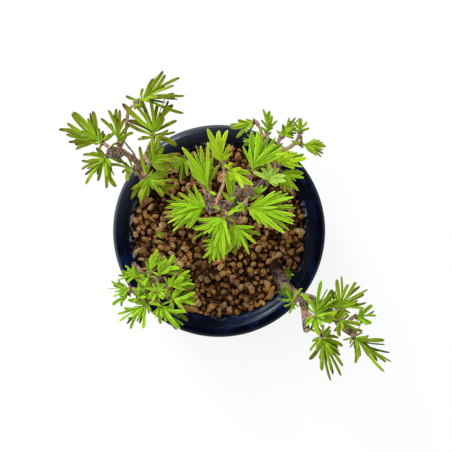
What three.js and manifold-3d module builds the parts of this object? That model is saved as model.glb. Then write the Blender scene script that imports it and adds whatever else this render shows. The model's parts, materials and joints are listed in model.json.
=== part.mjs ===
// A small dawn redwood bonsai clump in a round glazed pot, in millimetres with +Z up.
// Four short trunks stand in one pot of clay granules and carry short spurs, and each spur
// opens into a spray of flat leaflets. The resting plane is z = 0.
import * as THREE from "three";
import { mergeVertices } from "three/addons/utils/BufferGeometryUtils.js";
import Module from "manifold-3d";

const wasm = await Module();
wasm.setup();

// Driving dimensions
const POT_AXIS = [-6.6, 1.3]; // the pot's axis, from the middle of the whole plant's outline
const POT_RADIUS = 61;
const POT_HEIGHT = 48;
const FOOT_HEIGHT = 3;
const FLOOR_TOP = 8;
const DRAIN_RADIUS = 6;
const ROUND_SIDES = 40;
const NOTCH_WIDTH = 10;
const NOTCH_HEIGHT = 2;
const FIT_GAP = 0.3; // air between pieces that touch
const MESH_SIZE = 18;
const MESH_THICKNESS = 1;
const MESH_BAR = 1.6;
const MESH_HOLES = 3; // holes along each side of the drain mesh
const SOIL_TOP = 42.2;
const GRAIN_STEP = 4.2; // the granules' spacing, a little coarser than life
const GRAIN_RELIEF = 1.3; // how far they rise and fall
const HOLE_CLEARANCE = 0.4; // round a trunk in the soil
const LEAFLET_WIDTH = 1.9;
const LEAFLET_THICKNESS = 0.65;
const STEM_RADIUS = 0.85; // a spray's slim green stem, at its base

// The pot's section, as radius and height: out along the base, up the outside, over the
// rolled rim and down the inside to the floor.
const POT_PROFILE = [
  [DRAIN_RADIUS, FOOT_HEIGHT],
  [33.5, FOOT_HEIGHT],
  [34.5, 0],
  [39.5, 0],
  [40.5, 3.5],
  [47.5, 8.5],
  [53.9, 16],
  [58.4, 25],
  [60.4, 34],
  [POT_RADIUS, 40],
  [60.4, 44.2],
  [58.8, 47],
  [56.6, POT_HEIGHT],
  [54.2, 47.3],
  [51.9, 45],
  [49.2, 41.6],
  [49.6, 36],
  [50.5, 28],
  [48.7, 20],
  [43.8, 12.5],
  [36, FLOOR_TOP],
  [DRAIN_RADIUS, FLOOR_TOP],
];

// The soil's section below its granular top, just inside the pot's wall.
const SOIL_PROFILE = [
  [0, FLOOR_TOP + MESH_THICKNESS + 2 * FIT_GAP],
  [37.6, FLOOR_TOP + MESH_THICKNESS + 2 * FIT_GAP],
  [43.1, 12.9],
  [48.1, 20.4],
  [49.9, 28],
  [49, 36],
  [48.6, 41.4],
];

// The wood: each tree's limbs as points on their centre lines, with the radius at each point.
const TREES = {
  main: {
    trunk: { points: [[24, 23, 30], [24, 23, 44], [20.5, 23, 60], [16.5, 22, 74], [12.5, 21, 85],
        [10, 20.8, 90]],
      radii: [5.4, 5.2, 4.4, 4, 3.8, 2.8] },
    limbs: [
      { points: [[13, 21, 82], [7, 16.5, 87], [3, 13.3, 90], [-1.5, 12.2, 91.5], [-4, 14.8, 93]],
        radii: [2.6, 2, 1.7, 1.5, 1.2] },
      { points: [[-1.5, 12.8, 91.5], [0.5, 18.5, 97], [2.3, 22.5, 105], [3.2, 27.5, 116], [2.5, 32.4, 126.5]],
        radii: [1, 0.8, 0.7, 0.6, 0.55] },
      { points: [[20, 23, 62], [23.5, 24.6, 71], [26, 28, 78.5], [27.7, 36.5, 87], [33, 41, 90.5],
          [38.5, 44.5, 93.5], [41.2, 48.5, 96]],
        radii: [2.9, 2.6, 2.1, 1.5, 1.1, 1, 0.85] },
      { points: [[28, 38, 88], [24, 44, 88.5], [22.8, 49, 90], [20.3, 54.8, 91.8]],
        radii: [1, 0.85, 0.75, 0.6] },
      { points: [[33, 41.3, 90.5], [30.8, 46, 91], [34, 53.8, 93]], radii: [1.1, 0.9, 0.7] },
      { points: [[15, 21.5, 78], [16, 25.5, 89], [16.8, 29, 95.5]], radii: [1.3, 1, 0.9] },
      { points: [[13.5, 20.5, 82], [14, 15.8, 89], [14.3, 13.4, 92.5]], radii: [1.5, 1.2, 1] },
      { points: [[-4, 14.8, 92.5], [-8.5, 24, 92], [-13.5, 33.5, 91.5]], radii: [1.1, 0.9, 0.8] },
      { points: [[7.5, 17, 86.5], [8, 10.5, 86.5], [7.9, 6, 87.5]], radii: [1.3, 1.1, 0.9] },
    ],
    knobs: [[-4.2, 16.4, 93, 1.9], [-3.4, 12.2, 92.4, 1.8], [3.2, 13, 91.4, 2], [9.4, 9.8, 88, 1.7],
      [8, 17, 88.5, 2]],
  },
  lower_right: {
    trunk: { points: [[32.2, -21.2, 30], [32.2, -21.2, 44], [32.6, -23, 56], [34.2, -26.6, 64],
        [36.8, -30.6, 71], [41, -34.2, 77], [44, -34.6, 80]],
      radii: [4.2, 4, 3.6, 3.3, 3.2, 2.9, 2.5] },
    limbs: [
      { points: [[43, -34.5, 79.5], [48, -35, 82.5], [52, -37.2, 84.5], [59, -43.8, 86], [65.5, -49.8, 86],
          [70.5, -53.2, 86]],
        radii: [2.4, 2.1, 2, 2, 2.1, 2.2] },
      { points: [[43.5, -34.6, 79.5], [45, -39, 80.5], [45.6, -44, 79.5], [46.3, -51.5, 77.5]],
        radii: [2.2, 2, 1.9, 1.9] },
      { points: [[45.5, -43, 80], [50, -48, 82.5], [53, -52.5, 83]], radii: [1.2, 1, 0.9] },
    ],
    knobs: [[37.5, -27.6, 72.5, 1.8], [44.6, -38, 82.2, 1.7]],
  },
  lower_left: {
    trunk: { points: [[-27.6, -27.6, 30], [-27.6, -27.6, 44], [-30.7, -27.5, 60], [-34, -27.6, 73],
        [-35.4, -28, 82]],
      radii: [3.4, 3.2, 2.6, 2.3, 1.8] },
    limbs: [
      { points: [[-35.2, -27.8, 80], [-37, -24.5, 86], [-39.5, -20.5, 89], [-43.2, -16.7, 91]],
        radii: [1.4, 1.1, 1, 1.1] },
      { points: [[-35.2, -28, 80], [-39.5, -30.2, 84.5], [-44, -29.6, 86.5]], radii: [1.4, 1.1, 0.9] },
      { points: [[-34.5, -28, 77], [-30.5, -30, 83], [-27.5, -31.3, 86]], radii: [1.4, 1.2, 1] },
      { points: [[-34.5, -28.3, 76], [-34.5, -33, 80], [-34, -36.2, 82.5]], radii: [1.4, 1.2, 1] },
    ],
    knobs: [[-36.2, -26.6, 84.6, 1.9], [-40.4, -31.6, 85.4, 1.7]],
  },
  upper_left: {
    trunk: { points: [[-36.8, 22.3, 30], [-36.8, 22.3, 44], [-38.8, 24.2, 62], [-39.6, 27.2, 76],
        [-40, 31, 86], [-41.5, 35.5, 94], [-45, 38.3, 99], [-49, 40.5, 101.5], [-53, 41.2, 102.5]],
      radii: [3.6, 3.4, 2.6, 2.2, 1.7, 1.5, 1.4, 1.5, 1.3] },
    limbs: [
      { points: [[-49.6, 40.4, 101.4], [-46.9, 45, 103.6], [-45.5, 49.7, 106], [-44.4, 55.8, 108.7],
          [-43.4, 59.7, 110.4], [-40.6, 61.8, 111.5], [-39, 62.6, 111.8]],
        radii: [0.9, 0.75, 0.7, 0.9, 0.8, 0.7, 0.7] },
      { points: [[-42.9, 36.8, 96.4], [-42.2, 39.4, 100], [-44.2, 42, 102.6], [-45.8, 44, 105]],
        radii: [0.7, 0.5, 0.5, 0.35] },
      { points: [[-41, 34.5, 92], [-37, 38, 97], [-33.5, 43.5, 102.5], [-32.2, 46, 104.5]],
        radii: [1.3, 1.1, 1, 0.9] },
    ],
    knobs: [[-52.4, 39.6, 103, 2], [-49.6, 38.6, 102.4, 1.7], [-41.6, 31.6, 87.4, 1.8]],
  },
};

// The sprays: the tree, the point where the spur leaves the wood, the hub where the spray
// opens, the compass aim and the rise of its middle in degrees, the leaf colour, and where each
// leaflet's tip lies, seen from above: its compass angle and its distance from the hub, with
// its width where that isn't the usual.
const SPRAYS = [
  ["upper_left", [-53, 41.2, 102.5], [-58, 44.5, 102], 150, 8, "mature",
    [[164, 21], [157, 19], [152, 19], [169, 17], [179, 17, 1], [133, 20, 3], [137, 19], [184, 14], [196, 13],
      [118, 13], [113, 16, 1], [106, 16, 3], [99, 7], [84, 6], [42, 9]]],
  ["upper_left", [-52, 40.8, 102], [-56, 37.6, 100], -128, -5, "mature",
    [[-125, 17], [-112, 13], [-90, 16], [-72, 16, 3], [-66, 10, 1], [-79, 11], [-137, 14, 1], [-132, 11],
      [-154, 14], [-164, 11], [-173, 13, 1], [-186, 12], [-194, 8, 1], [-221, 7], [-23, 8]]],
  ["upper_left", [-48.8, 40.6, 101.5], [-49.1, 44, 106], 92, 25, "mature",
    [[104, 15], [92, 16], [85, 15], [125, 13], [112, 10], [31, 9], [69, 12], [56, 10]]],
  ["upper_left", [-39.2, 62.5, 111.7], [-37.8, 63.5, 112], 30, 12, "mature",
    [[77, 6], [61, 13], [48, 18], [41, 17], [33, 12], [31, 22], [20, 18], [13, 17], [7, 20], [3, 22, 1],
      [-17, 22, 1], [29, 14], [-125, 5], [-175, 4, 1]]],
  ["upper_left", [-32.3, 45.2, 103.8], [-31.8, 47, 106], 85, 18, "mature",
    [[134, 20, 3], [148, 15, 3], [154, 14], [120, 18], [108, 19], [105, 13], [93, 17], [82, 16], [73, 12],
      [70, 20, 1], [65, 19, 1], [56, 18, 3], [56, 10], [34, 14], [22, 8], [8, 11, 1], [-20, 12, 3],
      [190, 8]]],
  ["upper_left", [-37, 38, 97], [-33.5, 34.1, 104], 55, 22, "mature",
    [[83, 14], [73, 12], [65, 14, 3], [49, 10, 3], [16, 16], [12, 11, 3], [5, 12], [-9, 11, 3], [-25, 9],
      [95, 7], [60, 8, 3], [-47, 6]]],
  ["upper_left", [-40, 31, 86], [-35.8, 27.5, 98], -48, 5, "mature",
    [[-138, 10], [-126, 14], [-117, 11, 3], [-102, 14], [-97, 12, 1], [-87, 10], [-50, 13, 3], [-39, 15],
      [-28, 14], [-4, 15], [-16, 17], [13, 13], [30, 13], [-62, 7], [102, 16]]],
  ["upper_left", [-41, 34, 91], [-42.9, 32, 96], 180, 10, "mature",
    [[172, 12], [139, 11], [204, 6], [246, 7, 3], [117, 7]]],
  ["main", [-3, 13, 92], [-6.2, 13, 92.6], 186, 5, "fresh",
    [[152, 15], [137, 13], [129, 8, 1], [121, 12], [172, 21], [166, 19], [177, 18], [182, 21], [186, 17],
      [190, 21], [195, 22], [199, 18], [204, 21], [210, 20], [216, 21], [221, 18], [213, 16], [226, 15],
      [233, 14]]],
  ["main", [3, 12.8, 90.5], [3.5, 7.6, 93], -130, -5, "fresh",
    [[-177, 17], [-170, 14], [-162, 18], [-155, 17], [-149, 21], [-142, 14], [-136, 12], [-130, 14],
      [-118, 14], [-111, 16], [-105, 18], [-98, 18], [-92, 19], [-85, 19], [-79, 16], [40, 9]]],
  ["main", [7.9, 6.8, 87.2], [7.6, 4.4, 87.6], -55, -8, "fresh",
    [[-122, 10], [-111, 15], [-103, 17], [-94, 15], [-86, 17], [-79, 13], [-66, 18], [-58, 15], [-72, 13],
      [-44, 16], [-37, 12], [-24, 16], [-11, 11]]],
  ["main", [14.3, 14, 92], [14.7, 12, 94], -6, 8, "fresh",
    [[32, 16], [26, 20, 3], [20, 22], [15, 23], [10, 21, 3], [4, 23], [-1, 24], [-4, 21, 1], [-7, 23],
      [-10, 24], [-13, 20], [-16, 24], [-20, 24], [-23, 21, 1], [-27, 24], [-34, 22, 3], [-39, 17],
      [-44, 14], [-53, 10]]],
  ["main", [-4, 15.5, 93], [-5, 21, 93.5], 105, 12, "fresh",
    [[121, 24, 3], [127, 21], [138, 11], [132, 13], [105, 24, 1], [98, 22], [90, 23], [82, 18], [67, 14],
      [110, 20], [94, 15], [116, 17]]],
  ["main", [2.6, 31.8, 125.3], [2.3, 32.8, 128], 100, 38, "budding",
    [[116, 15, 3], [97, 13, 3], [84, 13], [127, 10, 3], [106, 9], [65, 8], [140, 6], [45, 6]]],
  ["main", [3.2, 27.5, 116], [4.9, 29.6, 120], -25, 10, "budding",
    [[8, 6], [-11, 11, 3], [-31, 14, 3], [-51, 11, 3], [-70, 7], [60, 4]]],
  ["main", [7, 16.5, 87.5], [6.5, 14.5, 96], 88, 25, "fresh", [[97, 18, 3], [84, 15], [128, 7], [54, 4]]],
  ["main", [-13.2, 33, 91.5], [-16.2, 37.4, 92], 215, 0, "fresh",
    [[173, 10], [188, 9], [207, 12], [228, 9], [256, 12], [217, 8, 1], [273, 9]]],
  ["main", [16.7, 28.5, 95], [17, 30.5, 98], 68, 15, "fresh",
    [[111, 13], [91, 20, 3], [82, 20, 3], [74, 18], [66, 20, 3], [54, 20], [49, 17], [43, 21, 3], [37, 19],
      [30, 17, 3], [20, 8], [98, 11]]],
  ["main", [20.6, 54.2, 91.6], [17.9, 56, 92], 200, 5, "mature",
    [[175, 8, 3], [155, 4], [187, 12], [197, 12, 3], [210, 7], [224, 12], [236, 7], [256, 5]]],
  ["main", [22.8, 49, 90], [25.4, 50.8, 92], 90, 25, "mature",
    [[106, 11], [97, 9], [87, 10, 3], [77, 8], [122, 7, 1], [58, 7, 1], [44, 7, 1], [145, 5]]],
  ["main", [23.4, 46, 89], [20.8, 46.4, 88.4], 172, -8, "fresh",
    [[149, 7], [168, 8], [134, 6], [180, 8], [192, 8], [206, 6]]],
  ["main", [31, 46.6, 91], [32.7, 48.6, 94], 50, 25, "mature",
    [[72, 9], [54, 11], [44, 12, 1], [62, 8], [-13, 6], [9, 7], [27, 7, 3], [86, 6], [133, 4]]],
  ["main", [41, 48.2, 95.8], [41.2, 50.1, 98], 75, 30, "mature",
    [[88, 6, 3], [58, 6], [22, 5], [125, 6], [156, 5]]],
  ["main", [39.5, 45.3, 94], [42.6, 44.3, 94], -8, 5, "mature",
    [[24, 7, 1], [6, 11, 3], [-6, 12, 3], [-17, 11], [-24, 12, 1], [-34, 12, 1], [-42, 9], [90, 5],
      [145, 4]]],
  ["main", [28, 36.8, 87.4], [31.2, 34.6, 90], 45, 12, "budding",
    [[96, 8], [80, 9, 3], [60, 10, 3], [43, 9, 3], [21, 14], [31, 11], [11, 14], [2, 10, 3], [-5, 12, 1],
      [-16, 8]]],
  ["main", [26.6, 31, 81.5], [32.4, 30.2, 85], -25, -2, "fresh",
    [[20, 7], [11, 10], [0, 12, 3], [-12, 12], [-24, 9], [-43, 13], [-52, 10], [-62, 11], [-78, 10],
      [-90, 7]]],
  ["main", [26.8, 32, 82.7], [25.6, 26.2, 91], 65, 24, "young",
    [[152, 9, 3], [118, 7, 3], [92, 9, 3], [72, 6, 3], [48, 8, 3], [14, 9, 3], [-4, 9, 3], [-25, 6, 3]]],
  ["main", [8, 9.4, 86.5], [0.8, -3, 84], -115, -12, "fresh",
    [[-167, 9], [-149, 11], [-138, 10], [-129, 14], [-121, 11], [-112, 15], [-105, 13], [-99, 10], [-91, 13],
      [-80, 12], [-67, 11]]],
  ["main", [15.6, 21.3, 79], [21, 18.7, 83], 90, 20, "fresh",
    [[130, 5], [100, 5], [72, 6], [47, 6], [190, 4], [212, 5]]],
  ["lower_left", [-38, -23, 87.2], [-34.8, -20.8, 90], 78, 20, "fresh",
    [[74, 12, 3], [95, 7, 3], [84, 9], [62, 10, 1], [114, 6], [43, 8]]],
  ["lower_left", [-36, -26.5, 82.5], [-30.9, -22.8, 90], 42, 12, "fresh",
    [[83, 9], [72, 11, 3], [55, 13], [45, 13], [34, 14, 1], [21, 12, 3], [63, 9], [12, 14, 1], [4, 9]]],
  ["lower_left", [-28.2, -31, 85.4], [-26, -28.6, 88], 22, 5, "fresh",
    [[37, 14], [26, 13, 3], [17, 13], [9, 14, 1], [0, 14], [48, 12, 1], [-9, 9], [62, 7]]],
  ["lower_left", [-28, -31.2, 85.6], [-24.8, -34.9, 86], 0, 0, "fresh",
    [[49, 7, 3], [24, 13, 1], [36, 8], [13, 13, 3], [3, 13], [-4, 13, 1], [-12, 13], [-24, 12, 3], [-46, 7],
      [-34, 8]]],
  ["lower_left", [-34.1, -35.6, 82], [-30.4, -38.3, 84], -55, 0, "fresh",
    [[-12, 13, 3], [-31, 17, 3], [-40, 16], [-49, 16, 3], [-57, 16], [-88, 10, 3], [-132, 6], [-112, 6],
      [-21, 8], [-69, 9]]],
  ["lower_left", [-34.2, -35.2, 81.8], [-37.2, -37.3, 84], -142, 0, "fresh",
    [[-190, 10, 3], [-168, 13, 3], [-158, 17], [-148, 17], [-133, 16], [-122, 16], [-99, 13, 3], [-82, 6],
      [-140, 13], [-128, 11], [-112, 12, 1], [-61, 5]]],
  ["lower_left", [-43.6, -29.6, 86.3], [-46, -29.5, 86.6], 178, 5, "fresh",
    [[154, 10], [142, 8, 1], [181, 11, 1], [204, 9], [191, 8, 1], [216, 6], [166, 6]]],
  ["lower_left", [-43, -29.8, 86], [-47.2, -32.7, 83], 220, -10, "fresh",
    [[213, 10, 3], [240, 8], [192, 5, 1], [228, 6]]],
  ["lower_left", [-38.3, -22.4, 87.8], [-41, -23.4, 88.4], 160, 8, "fresh",
    [[158, 9, 3], [173, 11, 1], [138, 9, 1], [187, 10, 1], [200, 7], [116, 6], [97, 5], [148, 7]]],
  ["lower_left", [-30.5, -30, 83], [-31.4, -31, 90], 45, 15, "fresh",
    [[48, 6], [-31, 7], [115, 5], [155, 5], [-84, 6], [1, 4], [83, 5], [192, 7], [-148, 7, 3], [-116, 6],
      [63, 5]]],
  ["lower_left", [-40, -31, 84.8], [-40.8, -34.6, 89], 90, 18, "fresh",
    [[86, 7], [55, 6], [20, 5], [118, 6], [-43, 4], [140, 4]]],
  ["lower_left", [-36.5, -27.6, 84.5], [-37.8, -29.7, 88.6], 95, 32, "fresh",
    [[70, 5], [87, 9, 3], [104, 8, 3], [124, 7], [138, 4], [27, 4], [179, 4]]],
  ["lower_right", [40.5, -34.3, 77], [39.2, -37.4, 81], 122, 20, "fresh",
    [[117, 12], [143, 10], [166, 8], [61, 9], [98, 7, 1], [131, 7], [202, 5]]],
  ["lower_right", [45.4, -41.5, 80.5], [49.8, -43.8, 89], 78, 12, "fresh",
    [[121, 14, 3], [81, 19, 3], [70, 16, 1], [62, 16], [51, 17], [57, 12, 3], [10, 13], [-13, 9, 3],
      [222, 6, 3], [252, 8], [35, 7], [-56, 7]]],
  ["lower_right", [52.6, -51.8, 82.9], [54.1, -54.6, 83], -75, -10, "mature",
    [[-131, 10], [-115, 15, 3], [-89, 19, 3], [-80, 24], [-72, 23], [-64, 24], [-56, 19], [-47, 15],
      [-38, 11, 3], [-25, 12, 3], [-8, 9], [-105, 10], [-97, 12], [-148, 6], [25, 5]]],
  ["lower_right", [69, -52.4, 86], [70.6, -55, 84.5], -42, -12, "mature",
    [[-73, 11], [-86, 15], [-56, 21, 1], [-49, 24], [-45, 19], [-40, 23], [-34, 23, 1], [-26, 23],
      [-19, 18, 1], [-6, 16, 3], [-14, 11], [30, 5]]],
  ["lower_right", [57, -42, 86], [61.3, -39.6, 92], 60, 22, "mature",
    [[95, 15, 3], [88, 17, 1], [72, 14], [64, 16], [57, 16, 1], [50, 16], [42, 17, 1], [32, 15, 3], [14, 14],
      [4, 12], [23, 10], [116, 11], [105, 8], [39, 9]]],
  ["lower_right", [65, -49.3, 86.5], [70.8, -43.8, 89], 5, 15, "fresh",
    [[41, 10, 3], [17, 10], [5, 10], [-22, 8, 3], [-49, 5], [-36, 7, 1], [29, 6]]],
  ["lower_right", [61, -45.5, 86.4], [62.4, -45.4, 90], -30, 15, "mature",
    [[-12, 10, 3], [-26, 13], [-42, 7], [-94, 8, 3], [-112, 7], [30, 5], [155, 5]]],
];

const finish = (color, roughness) => new THREE.MeshStandardMaterial({ color, roughness, metalness: 0 });
const MATERIALS = {
  glaze: finish("#141d30", 0.15),
  plastic: finish("#22262a", 0.7),
  granules: finish("#6d4c2c", 0.9),
  bark: finish("#7d6557", 0.85),
  mature: finish("#6f9a2b", 0.6),
  fresh: finish("#86b516", 0.6),
  budding: finish("#a3c032", 0.6),
  young: finish("#8cc489", 0.6),
};

const vector = (point) => new THREE.Vector3(...point);

// A closed geometry as a solid, with its shared corners merged.
function solidOf(geometry) {
  const bare = new THREE.BufferGeometry().setAttribute("position", geometry.getAttribute("position"));
  bare.setIndex(geometry.index);
  const merged = mergeVertices(bare, 1e-4);
  return new wasm.Manifold(
    new wasm.Mesh({
      numProp: 3,
      vertProperties: merged.attributes.position.array,
      triVerts: new Uint32Array(merged.index.array),
    }),
  );
}

// A solid as the geometry of a mesh with flat faces.
function geometryOf(solid) {
  const made = solid.getMesh();
  const geometry = new THREE.BufferGeometry();
  geometry.setAttribute("position", new THREE.BufferAttribute(made.vertProperties, 3));
  geometry.setIndex(new THREE.BufferAttribute(made.triVerts, 1));
  const flat = geometry.toNonIndexed();
  flat.computeVertexNormals();
  return flat;
}

// A closed skin over rings of corners, each ring turning right-handed about the way along.
function loft(rings) {
  const sides = rings[0].length;
  const index = [];
  for (let ring = 0; ring < rings.length - 1; ring++) {
    for (let side = 0; side < sides; side++) {
      const here = ring * sides + side;
      const beside = ring * sides + ((side + 1) % sides);
      index.push(here, beside, beside + sides, here, beside + sides, here + sides);
    }
  }
  const last = (rings.length - 1) * sides;
  for (let side = 1; side < sides - 1; side++) {
    index.push(0, side + 1, side);
    index.push(last, last + side, last + side + 1);
  }
  const geometry = new THREE.BufferGeometry().setFromPoints(rings.flat());
  geometry.setIndex(index);
  return geometry;
}

// A tapering limb with a round section, along a smooth curve through its points.
function limb({ points, radii }, sides, stepsBetween, extra = 0) {
  const curve = new THREE.CatmullRomCurve3(points.map(vector), false, "centripetal");
  const steps = (points.length - 1) * stepsBetween;
  const rings = [];
  let across = new THREE.Vector3(0.31, 0.87, 0.38);
  for (let step = 0; step <= steps; step++) {
    const along = step / steps;
    const tangent = curve.getTangent(along);
    across = across.clone().addScaledVector(tangent, -across.dot(tangent)).normalize();
    const other = tangent.clone().cross(across);
    const place = along * (radii.length - 1);
    const low = Math.min(Math.floor(place), radii.length - 2);
    const radius = THREE.MathUtils.lerp(radii[low], radii[low + 1], place - low) + extra;
    const ring = [];
    for (let side = 0; side < sides; side++) {
      const angle = (2 * Math.PI * side) / sides;
      ring.push(
        curve
          .getPoint(along)
          .addScaledVector(across, radius * Math.cos(angle))
          .addScaledVector(other, radius * Math.sin(angle)),
      );
    }
    rings.push(ring);
  }
  return loft(rings);
}

// A closed plate from an outline that turns left. Each point of the outline has its own place
// and its own half thickness along up, so that the plate can be bent and tapered.
function plate(outline, places, up, halfThickness) {
  const count = outline.length;
  const corners = [1, -1].flatMap((face) =>
    places.map((place, i) => place.clone().addScaledVector(up, face * halfThickness[i])),
  );
  const index = [];
  for (const [a, b, c] of THREE.ShapeUtils.triangulateShape(outline, [])) {
    index.push(a, b, c, count + c, count + b, count + a);
  }
  for (let here = 0; here < count; here++) {
    const next = (here + 1) % count;
    index.push(here, count + here, count + next, here, count + next, next);
  }
  const geometry = new THREE.BufferGeometry().setFromPoints(corners);
  geometry.setIndex(index);
  return geometry;
}

// The part placed so far, so that each new leaflet can be bent clear of it.
const placed = [];
const apart = (a, b) => [0, 1, 2].some((axis) => a.max[axis] < b.min[axis] || b.max[axis] < a.min[axis]);
function isClear(solid) {
  const box = solid.boundingBox();
  return placed.every((other) => apart(box, other.box) || solid.intersect(other.solid).isEmpty());
}

const plant = new THREE.Group();
plant.position.set(POT_AXIS[0], POT_AXIS[1], 0);

function addPiece(name, solid, material) {
  const mesh = new THREE.Mesh(geometryOf(solid), MATERIALS[material]);
  mesh.name = name;
  plant.add(mesh);
  placed.push({ solid, box: solid.boundingBox() });
}

// A turned shape from its section, standing upright.
function turned(profile) {
  const section = profile.map(([radius, height]) => new THREE.Vector2(radius, height));
  const geometry = new THREE.LatheGeometry(section, ROUND_SIDES);
  geometry.rotateX(Math.PI / 2);
  return geometry;
}

// The pot, with water notches through its foot ring.
function pot() {
  let solid = solidOf(turned([...POT_PROFILE, POT_PROFILE[0]]));
  for (const turn of [0.25, 0.58, 0.92]) {
    const notch = new THREE.BoxGeometry(POT_RADIUS, NOTCH_WIDTH, 2 * NOTCH_HEIGHT);
    notch.translate(POT_RADIUS / 2, 0, 0);
    notch.rotateZ(2 * Math.PI * turn);
    solid = solid.subtract(solidOf(notch));
  }
  return solid;
}

// The plastic mesh that keeps the granules off the drain hole: a plate with square holes.
function drainMesh() {
  const middle = FLOOR_TOP + FIT_GAP + MESH_THICKNESS / 2;
  const plate = new THREE.BoxGeometry(MESH_SIZE, MESH_SIZE, MESH_THICKNESS);
  plate.translate(0, 0, middle);
  let solid = solidOf(plate);
  const pitch = (MESH_SIZE - MESH_BAR) / MESH_HOLES;
  for (let row = 0; row < MESH_HOLES; row++) {
    for (let column = 0; column < MESH_HOLES; column++) {
      const hole = new THREE.BoxGeometry(pitch - MESH_BAR, pitch - MESH_BAR, 3 * MESH_THICKNESS);
      hole.translate((row - (MESH_HOLES - 1) / 2) * pitch, (column - (MESH_HOLES - 1) / 2) * pitch, middle);
      solid = solid.subtract(solidOf(hole));
    }
  }
  return solid;
}

// How far the granules rise or fall at a place on the soil: uneven, but the same every time.
function grainHeight(x, y) {
  const mixed = Math.abs(Math.sin(12.99 * x + 78.23 * y) * 4375.85) % 1;
  return GRAIN_RELIEF * (2 * mixed - 1);
}

// The soil: a turned body whose top is a field of uneven granules, with a plain hole for
// each trunk.
function soil() {
  const [edgeRadius] = SOIL_PROFILE.at(-1);
  const body = solidOf(turned([...SOIL_PROFILE, [edgeRadius - 1, SOIL_TOP + 2], [0, SOIL_TOP + 2]]));
  const cells = Math.ceil((2 * POT_RADIUS) / GRAIN_STEP);
  const field = new THREE.BoxGeometry(cells * GRAIN_STEP, cells * GRAIN_STEP, 2 * SOIL_TOP, cells, cells, 1);
  const corner = field.getAttribute("position");
  for (let i = 0; i < corner.count; i++) {
    if (corner.getZ(i) < 0) continue;
    const column = Math.round(corner.getX(i) / GRAIN_STEP + cells / 2);
    const row = Math.round(corner.getY(i) / GRAIN_STEP + cells / 2);
    const shift = row % 2 === 0 ? GRAIN_STEP / 4 : -GRAIN_STEP / 4;
    corner.setXYZ(i, corner.getX(i) + shift, corner.getY(i), SOIL_TOP + grainHeight(column, row));
  }
  let solid = body.intersect(solidOf(field));
  for (const { trunk } of Object.values(TREES)) {
    const [foot, ...rest] = trunk.points;
    const deeper = { points: [[foot[0], foot[1], foot[2] - HOLE_CLEARANCE], ...rest], radii: trunk.radii };
    solid = solid.subtract(solidOf(limb(deeper, 7, 1, HOLE_CLEARANCE)));
  }
  return solid;
}

const heading = (aim, rise) => {
  const [turn, lift] = [THREE.MathUtils.degToRad(aim), THREE.MathUtils.degToRad(rise)];
  return new THREE.Vector3(Math.cos(turn) * Math.cos(lift), Math.sin(turn) * Math.cos(lift), Math.sin(lift));
};

// A tree's wood: trunk, limbs, knobs where old buds broke, and a spur to each of its sprays.
function wood(name) {
  const { trunk, limbs, knobs } = TREES[name];
  let solid = solidOf(limb(trunk, 7, 1));
  for (const each of limbs) solid = solid.add(solidOf(limb(each, 5, 1)));
  for (const [x, y, z, radius] of knobs) {
    const knob = new THREE.IcosahedronGeometry(radius, 0);
    knob.translate(x, y, z);
    solid = solid.add(solidOf(knob));
  }
  for (const [tree, from, hub, aim, rise] of SPRAYS) {
    if (tree !== name) continue;
    const neck = vector(hub).addScaledVector(heading(aim, rise), -1.2);
    const spur = { points: [from, neck.toArray(), hub], radii: [1.1, 0.95, STEM_RADIUS] };
    solid = solid.add(solidOf(limb(spur, 4, 1)));
  }
  return solid;
}

// One leaflet in the plane of its spray, as a root, a direction and the points of its right
// and left edges from root to tip: widest past the middle and blunt at the tip.
const WIDEST = 0.66; // part of the length
const TIP_WIDTH = 0.5; // part of the width
function leafletEdges({ root, fan, length, width }) {
  const along = new THREE.Vector2(Math.cos(fan), Math.sin(fan));
  const across = new THREE.Vector2(-along.y, along.x);
  const at = (part, half) =>
    root.clone().addScaledVector(along, part * length).addScaledVector(across, half * width);
  return [at(WIDEST, -0.5), at(1, -0.5 * TIP_WIDTH), at(1, 0.5 * TIP_WIDTH), at(WIDEST, 0.5)];
}

// How far a point of a leaflet stands out of its spray's plane.
const ARCH = 0.05;
function liftAt(point, { root, length, lift }) {
  const distance = point.distanceTo(root);
  return distance * Math.tan(lift) - (ARCH * distance * distance) / length;
}

// A spray's leaflets in its plane, in order round its middle. A leaflet that would lie over
// the one before it, or back along the spur, is left out, and each is only as wide as the
// angle to its neighbours allows.
const LEAST_ANGLE = THREE.MathUtils.degToRad(5.5);
const BACKMOST = THREE.MathUtils.degToRad(112);
const MIDDLE = 2.4; // from the hub to the middle of the fan
const LIFTS = [15, -13, 2]; // degrees out of the fan's plane, in turn
function leafletsOf(aim, rise, tips) {
  const root = new THREE.Vector2(MIDDLE, 0);
  const all = tips.map(([angle, distance, width = LEAFLET_WIDTH]) => {
    const turn = THREE.MathUtils.degToRad(angle - aim);
    const tilt = Math.cos(THREE.MathUtils.degToRad(rise));
    const reach = new THREE.Vector2((distance * Math.cos(turn)) / tilt, distance * Math.sin(turn)).sub(root);
    return { root, fan: reach.angle(), length: reach.length(), width: Math.max(width, LEAFLET_THICKNESS) };
  });
  for (const leaf of all) if (leaf.fan > Math.PI) leaf.fan -= 2 * Math.PI;
  const kept = [];
  for (const leaf of all.sort((a, b) => a.fan - b.fan)) {
    const before = kept.at(-1);
    if (Math.abs(leaf.fan) > BACKMOST || (before && leaf.fan - before.fan < LEAST_ANGLE)) continue;
    kept.push(leaf);
  }
  kept.forEach((leaf, number) => {
    const beside = [kept[number - 1], kept[number + 1]].filter(Boolean);
    const angle = Math.min(...beside.map((other) => Math.abs(other.fan - leaf.fan)));
    leaf.width = Math.min(leaf.width, 0.95 * WIDEST * leaf.length * angle);
    leaf.turnUp = LIFTS[number % LIFTS.length];
  });
  return kept;
}

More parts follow.
